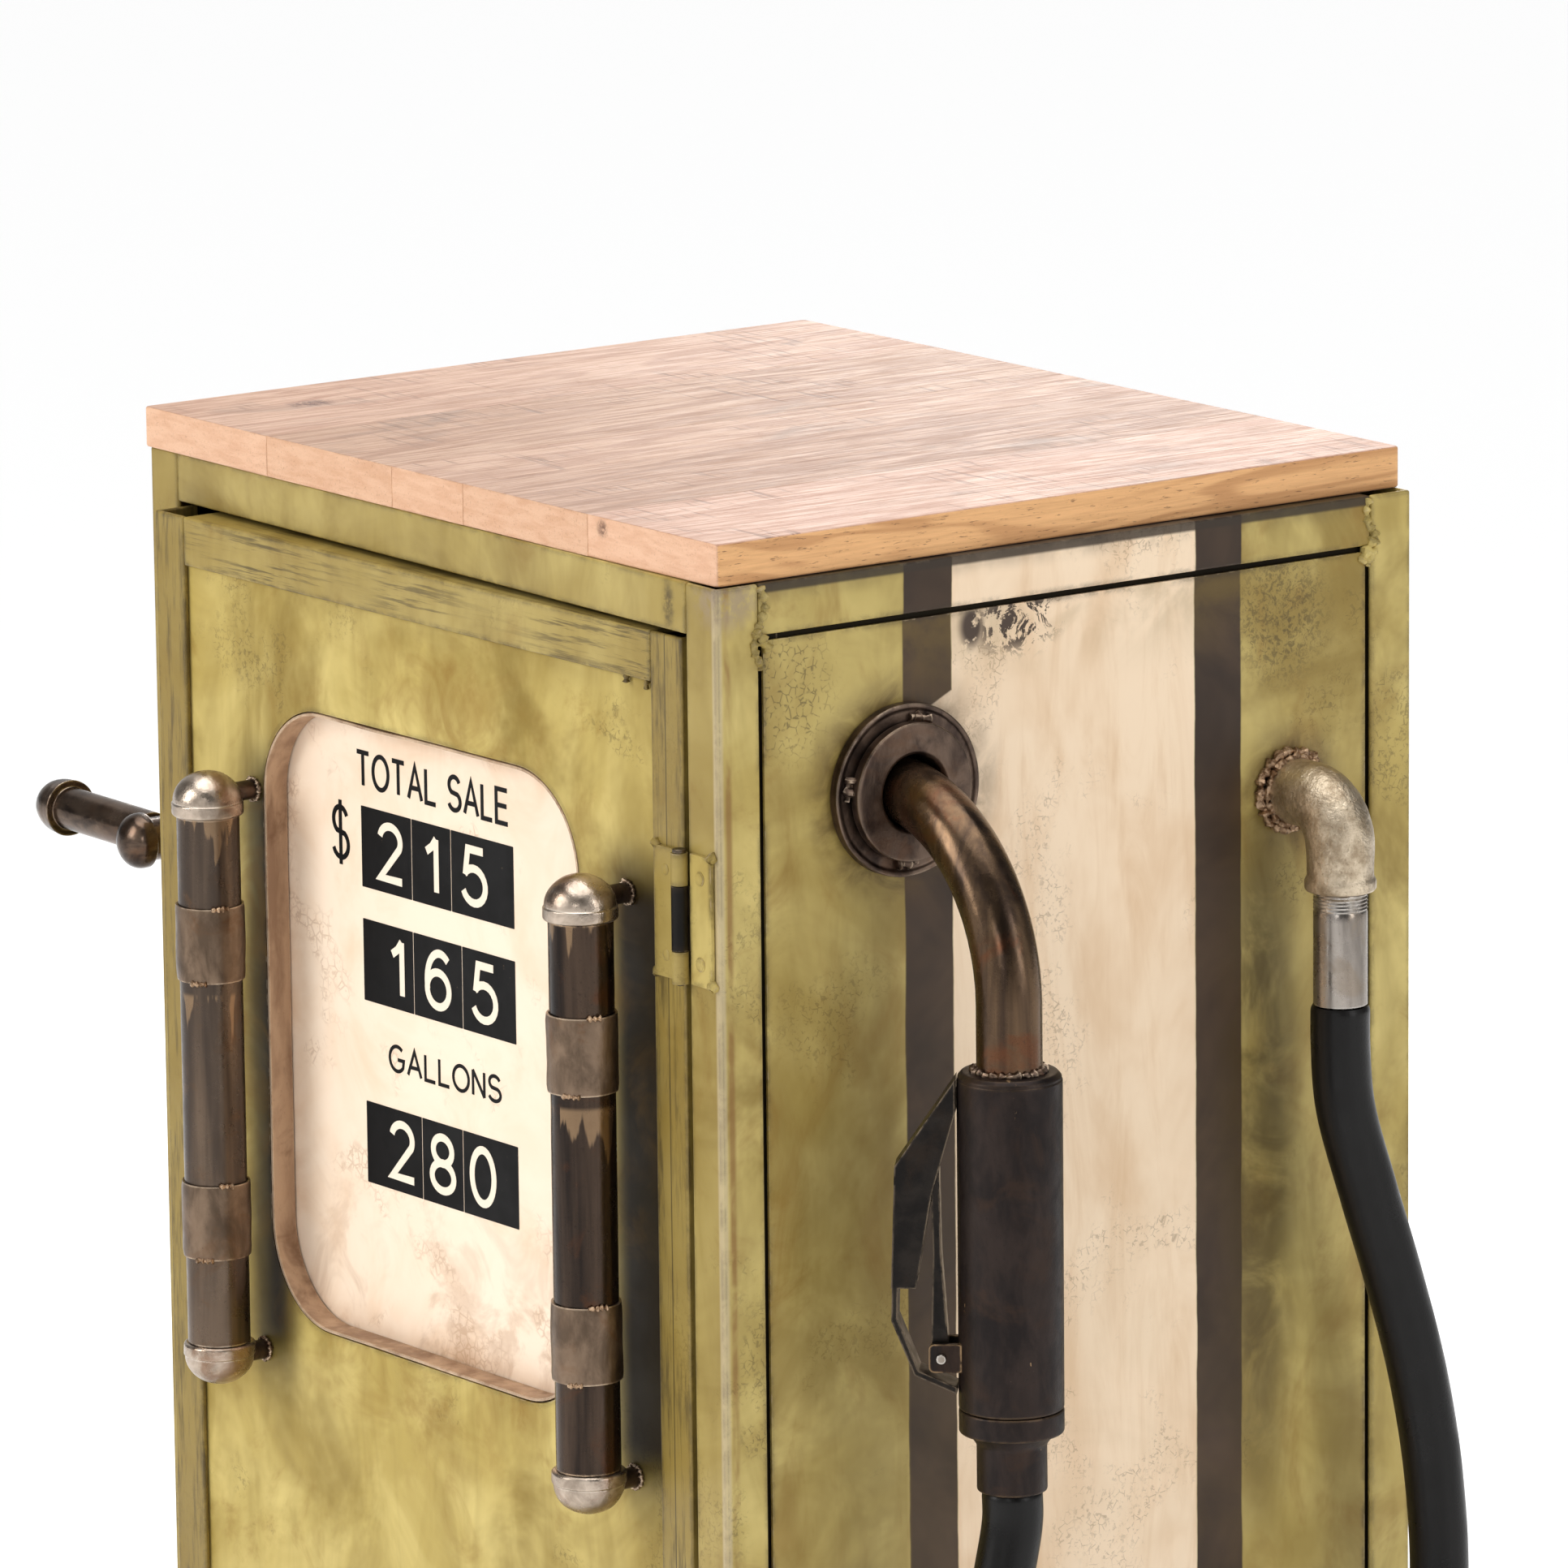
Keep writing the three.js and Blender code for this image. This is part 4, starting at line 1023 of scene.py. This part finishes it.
def build_wood():
    """Five boards, glued edge to edge, set a little askew on the frame."""
    corner = Vector((RIGHT_FACE, DOOR_FACE, 0))
    low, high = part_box("wood_top")
    shares = (0, 0.227, 0.451, 0.575, 0.787, 1)
    left, right, front, rear = -0.5, -0.0025, 0.003, 0.421
    outer_round, glued_round, gap = 0.0035, 0.0002, 0.00006
    place = Matrix.Translation(corner) @ Matrix.Rotation(WOOD_TURN, 4, "Z")
    for i, (a, b) in enumerate(zip(shares, shares[1:])):
        x0, x1 = (left + (right - left) * s for s in (a, b))
        x0 += gap if i else 0
        x1 -= gap if i < 4 else 0
        outline = [(x0, front), (x1, front), (x1, rear), (x0, rear)]
        rounds = (outer_round if i == 0 else glued_round, outer_round if i == 4 else glued_round)
        path = []
        for k, (here, size) in enumerate(zip(outline, (rounds[0], rounds[1], rounds[1], rounds[0]))):
            trio = [outline[k - 1], here, outline[(k + 1) % 4]]
            path += filleted([Vector(p) for p in trio], size, 4)[1:-1]
        mesh = slab(path, high.z - low.z, Matrix.Translation((0, 0, low.z)))
        build = bmesh.new()
        build.from_mesh(mesh)
        rims = [e for e in build.edges if len(e.link_faces) == 2 and e.calc_face_angle(0) > 1.2]
        outer = [e for e in rims if all(v.co.z > high.z - 1e-5 or v.co.z < low.z + 1e-5 for v in e.verts)]
        ends = [e for e in outer if abs(e.verts[0].co.x - e.verts[1].co.x) > 0.01]
        sides = [e for e in outer if e not in ends]
        free = [e for e in sides if min(abs(e.verts[0].co.x - x) for x in (left, right)) < 0.004]
        glued = [e for e in sides if e not in free]
        bmesh.ops.bevel(build, geom=ends + free, offset=0.0012, segments=3, profile=0.5, affect="EDGES")
        glued = [e for e in glued if e.is_valid]
        bmesh.ops.bevel(build, geom=glued, offset=0.00015, segments=1, profile=0.5, affect="EDGES")
        build.to_mesh(mesh)
        build.free()
        mesh.transform(place)
        even_shading(piece(f"wood_board_{i + 1}", mesh, BOARDS[i], "cabinet", ["wood_top"]))


# ---------- hinges ----------
def build_hinges():
    for level in ("upper", "lower"):
        for leaf, body, look_name in (("door", "door", POST), ("post", "cabinet", HINGE_LEAF)):
            node = f"hinge_{level}_{leaf}_leaf"
            refined(node, look_name, 0.0003, 2)
            low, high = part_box(node)
            outer, inward = (low.x, 0.009) if leaf == "door" else (high.x, -0.009)
            for k, z in enumerate((low.z + 0.011, high.z - 0.011)):
                profile = [(0, -0.001), (0.0036, -0.001), (0.0036, 0.0002), *dome(0.0030, 0.0003, 0.0008, 6)]
                spot = (outer + inward, low.y + 0.0068, z)
                turned(f"{node}_rivet_{k + 1}", profile, spot, (0, -1, 0), look_name, body, sides=28)
            for k, z in enumerate((low.z + 0.0005, high.z - 0.0005)):
                spots = ((-0.002, 0.0), (0.0, 0.0012), (0.0022, -0.0004))
                lump = [(outer + dx, low.y + 0.0078, z + dz) for dx, dz in spots]
                bead(f"{node}_lump_{k + 1}", lump, 0.0026, body, look_name, 60 + k)
        pin = f"hinge_{level}_pin"
        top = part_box(pin)[1].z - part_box(pin)[0].z
        profile = [(0, 0), (0.0016, 0), (0.002, 0.0006), (0.002, top - 0.0017), (0.0034, top - 0.0017),
                   (0.0034, top - 0.0004), (0.0029, top), (0, top)]
        turned(f"{pin}_turned", profile, underside(pin), UP, BLACK, "cabinet", pin, sides=28)


# ---------- door ----------
def window_path(grow, steps=16):
    """The window's outline, grown by an offset, as (x, z) points."""
    left, right = WINDOW["left"] - grow, WINDOW["right"] + grow
    bottom, top = WINDOW["bottom"] - grow, WINDOW["top"] + grow
    r = WINDOW["radius"] + grow
    made = []
    for cx, cz, first in ((right - r, top - r, 0), (left + r, top - r, 90),
                          (left + r, bottom + r, 180), (right - r, bottom + r, 270)):
        for k in range(steps + 1):
            turn = math.radians(first + 90 * k / steps)
            made.append(Vector((cx + r * math.cos(turn), cz + r * math.sin(turn))))
    return made


def build_rim():
    """The window's hand-bent strip: its edge wanders in and out a little."""
    thick = RIM_WALL / 2
    section = filleted([(0, 0), (thick, 0), (thick, 0.0135), (0, 0.0135)], 0.0005, 2, closed=True)
    outline = window_path(-0.0004, 16)
    dense = []
    for a, b in zip(outline, outline[1:] + outline[:1]):
        count = max(1, int((b - a).length / 0.008))
        dense += [a.lerp(b, k / count) for k in range(count)]
    verts, faces = [], []
    total, width = len(dense), len(section)
    for i, here in enumerate(dense):
        along = (dense[(i + 1) % total] - dense[i - 1]).normalized()
        inward = Vector((-along.y, along.x))
        sway = 0.0007 * noise.noise(Vector((here.x, 0, here.y)) * 22)
        face = SKIN_FACE - 0.0008 + 0.0005 * (1 + noise.noise(Vector((here.x, 5, here.y)) * 18))
        for u, v in section:
            spot = here + inward * (u + max(0.0, sway))
            verts.append((spot.x, face + v, spot.y))
    for i in range(total):
        n = (i + 1) % total
        for k in range(width):
            m = (k + 1) % width
            faces.append([i * width + k, i * width + m, n * width + m, n * width + k])
    mesh = to_door(mesh_of(verts, faces, 50))
    piece("window_rim_strip", mesh, RIM, "door", ["window_rim"])


def arc(x, y, across, up, first, last, steps=18):
    turns = [math.radians(first + (last - first) * k / steps) for k in range(steps + 1)]
    return [(x + across * math.cos(t), y + up * math.sin(t)) for t in turns]


# Plain stroke letters and figures: centrelines in a cell one unit tall.
GLYPHS = {
    "0": [arc(0.28, 0.5, 0.28, 0.5, 0, 360, 32)],
    "1": [[(0.04, 0.74), (0.19, 0.85), (0.30, 1.0)], [(0.30, 1.0), (0.30, 0.0)]],
    "2": [arc(0.28, 0.73, 0.25, 0.27, 168, -28) + [(0.03, 0.0), (0.56, 0.0)]],
    "5": [[(0.50, 1.0), (0.13, 1.0), (0.06, 0.50)], arc(0.27, 0.325, 0.28, 0.325, 142, -158)],
    "6": [arc(0.28, 0.32, 0.27, 0.32, 0, 360, 32), arc(0.33, 0.45, 0.32, 0.55, 196, 52)],
    "8": [arc(0.28, 0.755, 0.23, 0.245, 0, 360, 28), arc(0.28, 0.26, 0.27, 0.26, 0, 360, 28)],
    "A": [[(0.0, 0.0), (0.32, 1.0), (0.64, 0.0)], [(0.11, 0.33), (0.53, 0.33)]],
    "E": [[(0.52, 1.0), (0.0, 1.0), (0.0, 0.0), (0.54, 0.0)], [(0.0, 0.52), (0.49, 0.52)]],
    "G": [arc(0.37, 0.5, 0.36, 0.5, 48, 322, 28) + [(0.69, 0.47), (0.40, 0.47)]],
    "L": [[(0.0, 1.0), (0.0, 0.0), (0.47, 0.0)]],
    "N": [[(0.0, 0.0), (0.0, 1.0)], [(0.0, 1.0), (0.54, 0.0)], [(0.54, 0.0), (0.54, 1.0)]],
    "O": [arc(0.37, 0.5, 0.37, 0.5, 0, 360, 32)],
    "S": [arc(0.29, 0.745, 0.25, 0.255, 22, 238) + arc(0.29, 0.262, 0.28, 0.262, 58, -160)],
    "T": [[(0.0, 1.0), (0.58, 1.0)], [(0.29, 1.0), (0.29, 0.0)]],
}
GLYPHS["$"] = GLYPHS["S"] + [[(0.29, -0.14), (0.29, 1.14)]]
LETTER_GAP, WORD_GAP = 0.21, 0.42


def ribbon(stroke, weight, front, rear):
    """A flat stroke of even width along (x, z) points, as a thin closed solid on the dial."""
    closed = (Vector(stroke[0]) - Vector(stroke[-1])).length < 1e-6
    line = [Vector(p) for p in (stroke[:-1] if closed else stroke)]
    count = len(line)
    verts = []
    for i, here in enumerate(line):
        before = line[i - 1] if closed or i else None
        after = line[(i + 1) % count] if closed or i < count - 1 else None
        first = ((here - before) if before is not None else (after - here)).normalized()
        second = ((after - here) if after is not None else (here - before)).normalized()
        middle_way = (first + second).normalized()
        side = Vector((-middle_way.y, middle_way.x)) * (weight / 2 / max(0.45, middle_way.dot(first)))
        for spot in (here + side, here - side):
            verts += [(spot.x, front, spot.y), (spot.x, rear, spot.y)]
    faces = []
    for i in range(count if closed else count - 1):
        a, b = 4 * i, 4 * ((i + 1) % count)
        faces += [[a, b, b + 2, a + 2], [a + 1, a + 3, b + 3, b + 1],
                  [a, a + 1, b + 1, b], [a + 2, b + 2, b + 3, a + 3]]
    if not closed:
        last = 4 * (count - 1)
        faces += [[0, 2, 3, 1], [last, last + 1, last + 3, last + 2]]
    return mesh_of(verts, faces)


def lettering(name, text, box, look_name, proud, weight):
    """Generic lettering as thin raised ink, fitted to (left, right, bottom, top) on the dial."""
    strokes, pen = [], 0.0
    for letter in text:
        if letter == " ":
            pen += WORD_GAP
            continue
        glyph = GLYPHS[letter]
        strokes += [[(pen + x, y) for x, y in stroke] for stroke in glyph]
        pen += max(x for stroke in glyph for x, y in stroke) + LETTER_GAP
    xs = [x for stroke in strokes for x, y in stroke]
    ys = [y for stroke in strokes for x, y in stroke]
    left, right, bottom, top = (v + d * weight / 2 for v, d in zip(box, (1, -1, 1, -1)))
    across, up = (right - left) / (max(xs) - min(xs)), (top - bottom) / (max(ys) - min(ys))
    ribbons = []
    for k, stroke in enumerate(strokes):
        fitted = [(left + (x - min(xs)) * across, bottom + (y - min(ys)) * up) for x, y in stroke]
        lift = proud + 0.00001 * (k % 3)
        ribbons.append(ribbon(fitted, weight, DIAL_FACE - lift, DIAL_FACE - 0.00001))
    piece(name, to_door(joined(*ribbons)), look_name, "door")


def plate(name, box, proud):
    left, right, bottom, top = box
    outline = filleted([(left, bottom), (right, bottom), (right, top), (left, top)], 0.0004, 2, closed=True)
    axes = Matrix(((1, 0, 0, 0), (0, 0, -1, DIAL_FACE), (0, 1, 0, 0), (0, 0, 0, 1)))
    piece(name, to_door(slab(outline, proud, axes)), INK, "door")


def build_dial():
    refined("dial_panel", DIAL, 0.0006, 2)
    # each row: its lower and upper edge, each figure's middle and width, and where its windows part
    rows = (
        ("upper", 0.8393, 0.8807,
         (("2", 0.196, 0.175), ("1", 0.465, 0.095), ("5", 0.745, 0.175)), (0.333, 0.592)),
        ("middle", 0.7810, 0.8230,
         (("1", 0.225, 0.095), ("6", 0.495, 0.175), ("5", 0.800, 0.175)), (0.333, 0.654)),
        ("lower", 0.6870, 0.7290,
         (("2", 0.240, 0.175), ("8", 0.505, 0.175), ("0", 0.770, 0.175)), (0.370, 0.640)),
    )
    left, right, inset = -0.0527, 0.0763, 0.0003
    width = right - left
    plate_proud, digit_proud, letter_proud = 0.00018, 0.00032, 0.0002
    for row, bottom, top, digits, splits in rows:
        edges = [left, *[left + width * s for s in splits], right]
        for k, (a, b) in enumerate(zip(edges, edges[1:])):
            span = (a + (inset if k else 0), b - (inset if k < 2 else 0), bottom, top)
            plate(f"dial_{row}_window_{k + 1}", span, plate_proud)
        rise = top - bottom
        for k, (digit, place, wide) in enumerate(digits):
            x = left + width * place
            half = width * wide / 2
            box = (x - half, x + half, bottom + rise * 0.13, top - rise * 0.12)
            lettering(f"dial_{row}_digit_{k + 1}", digit, box, DIGIT, digit_proud, 0.0041)
    lettering("dial_currency", "$", (-0.0784, -0.0630, 0.8462, 0.8820), INK, letter_proud, 0.0027)
    lettering("dial_heading", "TOTAL SALE", (-0.0567, 0.0733, 0.8900, 0.9092), INK, letter_proud, 0.0024)
    lettering("dial_unit", "GALLONS", (-0.0327, 0.0633, 0.7480, 0.7626), INK, letter_proud, 0.0019)


def build_tubes():
    tube, bore = 0.0159, 0.0139
    cap, cap_lip = 0.0183, 0.0007
    collar, collar_bore, collar_lip = 0.0175, 0.0162, 0.0003
    stand = Vector((math.sin(DOOR_AJAR), -math.cos(DOOR_AJAR), 0))
    for side, look_name in (("left", LEFT_TUBE), ("right", RIGHT_TUBE)):
        rod = f"{side}_tube_rod"
        low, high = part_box(rod)
        axis = Vector(((low.x + high.x) / 2, (low.y + high.y) / 2, 0))
        tall = high.z - low.z
        profile = [(tube, tall * k / 40) for k in range(41)] + [(bore, tall), (bore, 0)]
        start = axis + Vector((0, 0, low.z))
        turned(f"{side}_tube_barrel", profile, start, UP, look_name, "door", rod,
               loop=True, dents=0.00012, seed=len(side))
        for end, up in (("top", 1), ("bottom", -1)):
            name = f"{side}_tube_{end}"
            low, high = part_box(f"{name}_cap")
            base = low.z if up > 0 else high.z
            rise = high.z - low.z
            rim = [(0, 0), (cap - 0.001, 0), (cap, 0.001), (cap, 0.0062), (cap - cap_lip, 0.0068)]
            profile = [tuple(v) for v in filleted(rim, 0.0006, 3)] + dome(cap - cap_lip, 0.007, rise - 0.007)
            start = axis + Vector((0, 0, base))
            turned(f"{name}_dome", profile, start, (0, 0, up), NICKEL, "door", f"{name}_cap",
                   dents=0.00035, seed=7)
            start = axis + Vector((0, 0, base + up * 0.009))
            profile = filleted([(0, -0.0287), (0.005, -0.0287), (0.005, -0.008), (0, -0.008)], 0.0003)
            turned(f"{name}_stud", profile, start, stand, GUNMETAL, "door", sides=36)
            ring = ring_path(start - stand * 0.0277, stand, 0.0055, 18)
            bead(f"{name}_stud_weld", ring, 0.0013, "door", COLLAR, 3, closed=True)

            low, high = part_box(f"{name}_collar")
            tall = high.z - low.z
            profile = [(collar - collar_lip, 0), *[(collar, tall * k / 12) for k in range(1, 12)],
                       (collar - collar_lip, tall), (collar_bore, tall), (collar_bore, 0)]
            start = axis + Vector((0, 0, low.z))
            turned(f"{name}_sleeve", profile, start, UP, COLLAR, "door", f"{name}_collar",
                   loop=True, dents=0.0005, seed=11)
            chance = random.Random(f"{side}{end}")
            for k, z in enumerate((low.z, high.z)):
                turn = 0.62 + k * 0.7
                out = Vector((math.sin(turn), -math.cos(turn), 0))
                along = Vector((out.y, -out.x, 0))
                spot = axis + Vector((0, 0, z)) + out * (collar - 0.0006)
                reach = along * (0.0035 + chance.uniform(0, 0.0015))
                bead(f"{name}_tack_{k + 1}", [spot - reach, spot, spot + reach], 0.0014, "door", WELD, k)


def build_door():
    refined("door_stile_left", STILE, 0.0011)
    refined("door_stile_right", STILE, 0.0011)
    refined("door_rail_top", RAIL, 0.0011)
    refined("door_rail_bottom", RAIL, 0.0011)
    refined("door_skin", SKIN, 0.0004, 2)
    build_rim()
    build_dial()
    build_tubes()
    # tacks across the step between the frame and the sheet, at the top right corner
    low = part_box("door_rail_top")[0]
    ajar = Matrix.Rotation(DOOR_AJAR, 3, "Z")
    for k, (x, z) in enumerate(((0.1933, low.z), (0.2095, low.z - 0.001))):
        spot = Vector((x, DOOR_FACE + 0.0012, z))
        path = [HINGE + ajar @ (spot + Vector((0, 0, d)) - HINGE) for d in (-0.0035, 0, 0.003)]
        bead(f"door_corner_tack_{k + 1}", path, 0.0016, "door", STILE, 40 + k)


# ---------- holster and nozzle ----------
def build_holster():
    plate = [(0.025, 0), (0.0425, 0), (0.0425, 0.006), (0.0405, 0.006), (0.039, 0.0046), (0.025, 0.0046)]
    boss = [(0.0182, 0), (0.0245, 0), (0.0245, 0.0056), (0.034, 0.0056), (0.034, 0.0112),
            (0.0325, 0.0116), (0.0200, 0.0116), (0.0182, 0.0098)]
    for name, node, profile, edge, dents, seed in (
            ("holster_flange", "holster_plate", plate, 0.0009, 0.0003, 2),
            ("holster_disc", "holster_boss", boss, 0.0008, 0.0002, 5)):
        start = (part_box(node)[0].x, HOLSTER.y, HOLSTER.z)
        turned(name, filleted(profile, edge, 3, closed=True), start, (1, 0, 0), GUNMETAL, "cabinet", node,
               sides=96, loop=True, dents=dents, seed=seed)
    refined("holster_sleeve", BLACK, 0.0004, 1)
    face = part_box("holster_plate")[1].x
    ring = 0.0352
    for k, degrees in enumerate((78, 172, 268)):
        turn = math.radians(degrees)
        spot = Vector((face - 0.0006, HOLSTER.y + ring * math.cos(turn), HOLSTER.z + ring * math.sin(turn)))
        along = Vector((0, -math.sin(turn), math.cos(turn))) * 0.006
        bead(f"holster_tack_{k + 1}", [spot - along, spot, spot + along], 0.0031, "cabinet", GUNMETAL, k)


def build_nozzle():
    low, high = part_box("nozzle_body")
    axis = middle("nozzle_lower_cap")
    bend, spout, wall = 0.092, 0.0159, 0.002
    start = Vector((axis.x - bend, axis.y, HOLSTER.z))
    path = [start - Vector((0.022, 0, 0)), start - Vector((0.011, 0, 0)), *quarter_bend(start, bend, 48)]
    straight = HOLSTER.z - bend
    path += [Vector((axis.x, axis.y, straight + (high.z + 0.0003 - straight) * t)) for t in (0.4, 0.8, 1)]
    mesh = swept(path, [spout] * len(path), 72, bore=spout - wall, lumps=0.00008)
    piece("spout_tube", mesh, BRONZE, "nozzle", ["spout"])

    r = 0.0254
    tall = high.z - low.z
    profile = [(0, 0), (r - 0.0006, 0), (r, 0.0008), (r, tall - 0.0042), (r - 0.0004, tall - 0.0036),
               (r - 0.0004, tall - 0.0022), (r - 0.0022, tall - 0.0002), (r - 0.0030, tall), (0, tall)]
    barrel = lathe(filleted(profile, 0.0006, 3), (axis.x, axis.y, low.z), UP, 96, False, 0.00015, 9)
    place = Matrix.Translation((axis.x, axis.y, 0)) @ Matrix.Rotation(math.radians(-40), 4, "Z")
    inner, outer, bottom, top = -0.0224, -0.039, 0.659, 0.673
    corners = [(outer, bottom), (inner, bottom), (inner, top), (outer, top)]
    lugs = [slab(filleted(corners, 0.003, 5, True), 0.003, place @ across_axes(x)) for x in (-0.010, 0.007)]
    piece("nozzle_barrel", joined(barrel, *lugs), NOZZLE, "nozzle", ["nozzle_body"])
    ring = ring_path((axis.x, axis.y, high.z + 0.0006), UP, 0.0170, 30, 0.0006, 4)
    bead("spout_weld", ring, 0.0021, "nozzle", GUNMETAL, 8, closed=True)

    low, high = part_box("nozzle_lower_cap")
    tall = high.z - low.z
    profile = [(0, 0), (0.017, 0), (0.017, 0.0231), (0.0214, 0.0291), (r, 0.0291), (r, tall), (0, tall)]
    turned("nozzle_tail", filleted(profile, 0.0014, 4), (axis.x, axis.y, low.z), UP, NOZZLE, "nozzle",
           "nozzle_lower_cap", sides=96, dents=0.00012, seed=3)
    refined("trigger_guard", BLACK, 0.0008)
    refined("trigger", BLACK, 0.0009)
    refined("trigger_pin", ZINC, 0.0004, 2)


# ---------- elbow and nipple ----------
def build_elbow():
    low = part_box("hose_elbow")[0]
    radius, bend = 0.0166, 0.023
    start_x, end_z = low.x, low.z
    path = [Vector((start_x + (ELBOW.x - bend - start_x) * k / 6, ELBOW.y, ELBOW.z)) for k in range(7)]
    path += quarter_bend(Vector((ELBOW.x - bend, ELBOW.y, ELBOW.z)), bend, 32)[1:]
    for k in range(1, 21):
        path.append(Vector((ELBOW.x, ELBOW.y, ELBOW.z - bend - (ELBOW.z - bend - end_z) * k / 20)))
    radii = []
    for p in path:
        lip = max(0.0, 1 - (p.z - end_z) / 0.007) if p.x > ELBOW.x - 0.001 else 0.0
        belly = math.sin(math.pi * min(1, (ELBOW.z - p.z) / 0.03)) * 0.0005
        radii.append(radius + belly + 0.0012 * min(1, lip * 3))
    radii[-1] -= 0.0007
    mesh = swept(path, radii, 72, lumps=0.00018, seed=3)
    piece("elbow_casting", mesh, CAST, "cabinet", ["hose_elbow"])
    for name, x, reach, count, wander, seed, thick, lumps in (
            ("outer", 0.0016, 0.0190, 36, 0.0012, 6, 0.0030, 21),
            ("inner", 0.0050, 0.0172, 32, 0.0008, 7, 0.0021, 22)):
        ring = ring_path((start_x + x, ELBOW.y, ELBOW.z), (1, 0, 0), reach, count, wander, seed)
        bead(f"elbow_weld_{name}", ring, thick, "cabinet", WELD, lumps, True)

    low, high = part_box("hose_nipple")
    top = high.z - low.z
    pitch, depth, threads = 0.0018, 0.0004, 5
    r = 0.01345
    profile = [(0, 0), (r - 0.0006, 0), (r, 0.0006)]
    profile += [(r, 0.0006 + (top - 0.0112) * k / 12) for k in range(1, 13)]
    base = top - 0.0100
    for k in range(threads):
        profile += [(r - depth, base + pitch * (k + 0.25)), (r + 0.0001, base + pitch * (k + 0.75))]
    profile += [(r - depth, top), (0, top)]
    start = (ELBOW.x, ELBOW.y, low.z)
    turned("nipple_threaded", profile, start, UP, ZINC, "cabinet", "hose_nipple")


# ---------- crank ----------
def build_crank():
    low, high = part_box("crank_bush")
    centre = (low + high) / 2
    long = high.x - low.x
    profile = filleted([(0.0084, 0), (0.017, 0), (0.017, long), (0.0084, long)], 0.0008, 3, True)
    start = (low.x, centre.y, centre.z)
    turned("crank_bearing", profile, start, (1, 0, 0), GUNMETAL, "cabinet", "crank_bush", sides=64, loop=True)

    low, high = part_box("crank_spindle")
    long = high.x - low.x
    shaft = [(0, 0), (0.013, 0), (0.013, 0.008), (0.008, 0.008), (0.008, long), (0, long)]
    start = (high.x, centre.y, centre.z)
    turned("crank_shaft", filleted(shaft, 0.0008, 3), start, (-1, 0, 0), GUNMETAL, "crank", "crank_spindle",
           sides=64)

    rod, knob = 0.0111, 0.0144
    low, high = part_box("crank_arm")
    long = high.y - low.y
    arm = [(0, 0), (0.008, 0.002), (rod, 0.007), (rod, long - 0.014), (knob, long - 0.014),
           (knob, long - 0.011)]
    profile = [tuple(v) for v in filleted(arm, 0.0009, 4)] + dome(knob, long - 0.011, 0.011)
    start = ((low.x + high.x) / 2, high.y, centre.z)
    turned("crank_arm_turned", profile, start, (0, -1, 0), CRANK, "crank", "crank_arm",
           dents=0.0002, seed=5)

    low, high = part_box("crank_grip")
    long = high.x - low.x
    handle = [(0, 0), (rod, 0), (rod, long - 0.024), (0.0150, long - 0.024), (knob, long - 0.019)]
    profile = [tuple(v) for v in filleted(handle, 0.0009, 4)] + dome(knob, long - 0.019, 0.019)
    start = (high.x, (low.y + high.y) / 2, centre.z)
    turned("crank_grip_turned", profile, start, (-1, 0, 0), CRANK, "crank", "crank_grip",
           dents=0.0002, seed=6)


# ---------- studio ----------
def build_floor():
    size = 30
    mesh = bpy.data.meshes.new("floor")
    corners = [(-size, -size, 0), (size, -size, 0), (size, size, 0), (-size, size, 0)]
    mesh.from_pydata(corners, [], [(0, 1, 2, 3)])
    floor = bpy.data.objects.new("floor", mesh)
    bpy.context.scene.collection.objects.link(floor)
    material = bpy.data.materials.new("floor")
    material.use_nodes = True
    shader = material.node_tree.nodes["Principled BSDF"]
    shader.inputs["Base Color"].default_value = (0.93, 0.93, 0.93, 1)
    shader.inputs["Roughness"].default_value = 0.9
    mesh.materials.append(material)


def area_light(name, place, target, size, power, warmth=(1, 1, 1)):
    data = bpy.data.lights.new(name, "AREA")
    data.shape = "RECTANGLE"
    data.size, data.size_y = size
    data.energy = power
    data.color = warmth
    light = bpy.data.objects.new(name, data)
    light.location = place
    light.rotation_euler = (Vector(target) - Vector(place)).to_track_quat("-Z", "Y").to_euler()
    bpy.context.scene.collection.objects.link(light)


def build_world():
    """A pale room with darker stretches between its lit walls, for the metal to reflect."""
    world = bpy.data.worlds.new("studio")
    bpy.context.scene.world = world
    world.use_nodes = True
    nodes = Nodes(world.node_tree)
    split = nodes.node("ShaderNodeSeparateXYZ")
    nodes.put(split.inputs[0], nodes.node("ShaderNodeTexCoord").outputs["Generated"])
    turn = nodes.math("ARCTAN2", split.outputs[1], split.outputs[0])
    wave = nodes.math("SINE", nodes.times(turn, 3.0))
    background = world.node_tree.nodes["Background"]
    background.inputs["Color"].default_value = (1, 1, 1, 1)
    nodes.put(background.inputs["Strength"], nodes.step(wave, -0.6, 0.5, 0.12, 0.62))


def build_studio():
    build_floor()
    build_world()
    aim = (0.05, 0, 0.8)
    area_light("key", (-0.9, -3.4, 2.4), aim, (1.4, 2.2), 60, (1, 0.985, 0.96))
    area_light("side", (3.6, 0.9, 1.9), aim, (0.8, 2.2), 24)
    area_light("camera_fill", (3.2, -3.6, 2.0), aim, (0.9, 1.2), 16)
    area_light("back", (-2.8, 2.6, 1.8), aim, (1.2, 2.0), 50)
    sky = bpy.data.lights.new("sky", "SUN")
    sky.energy = 2.15
    sky.angle = math.radians(60)
    bpy.context.scene.collection.objects.link(bpy.data.objects.new("sky", sky))
    bpy.context.scene.view_settings.view_transform = "Standard"


build_hose()
build_cabinet()
build_lips()
build_seams()
build_wood()
build_hinges()
build_door()
build_holster()
build_nozzle()
build_elbow()
build_crank()
build_studio()
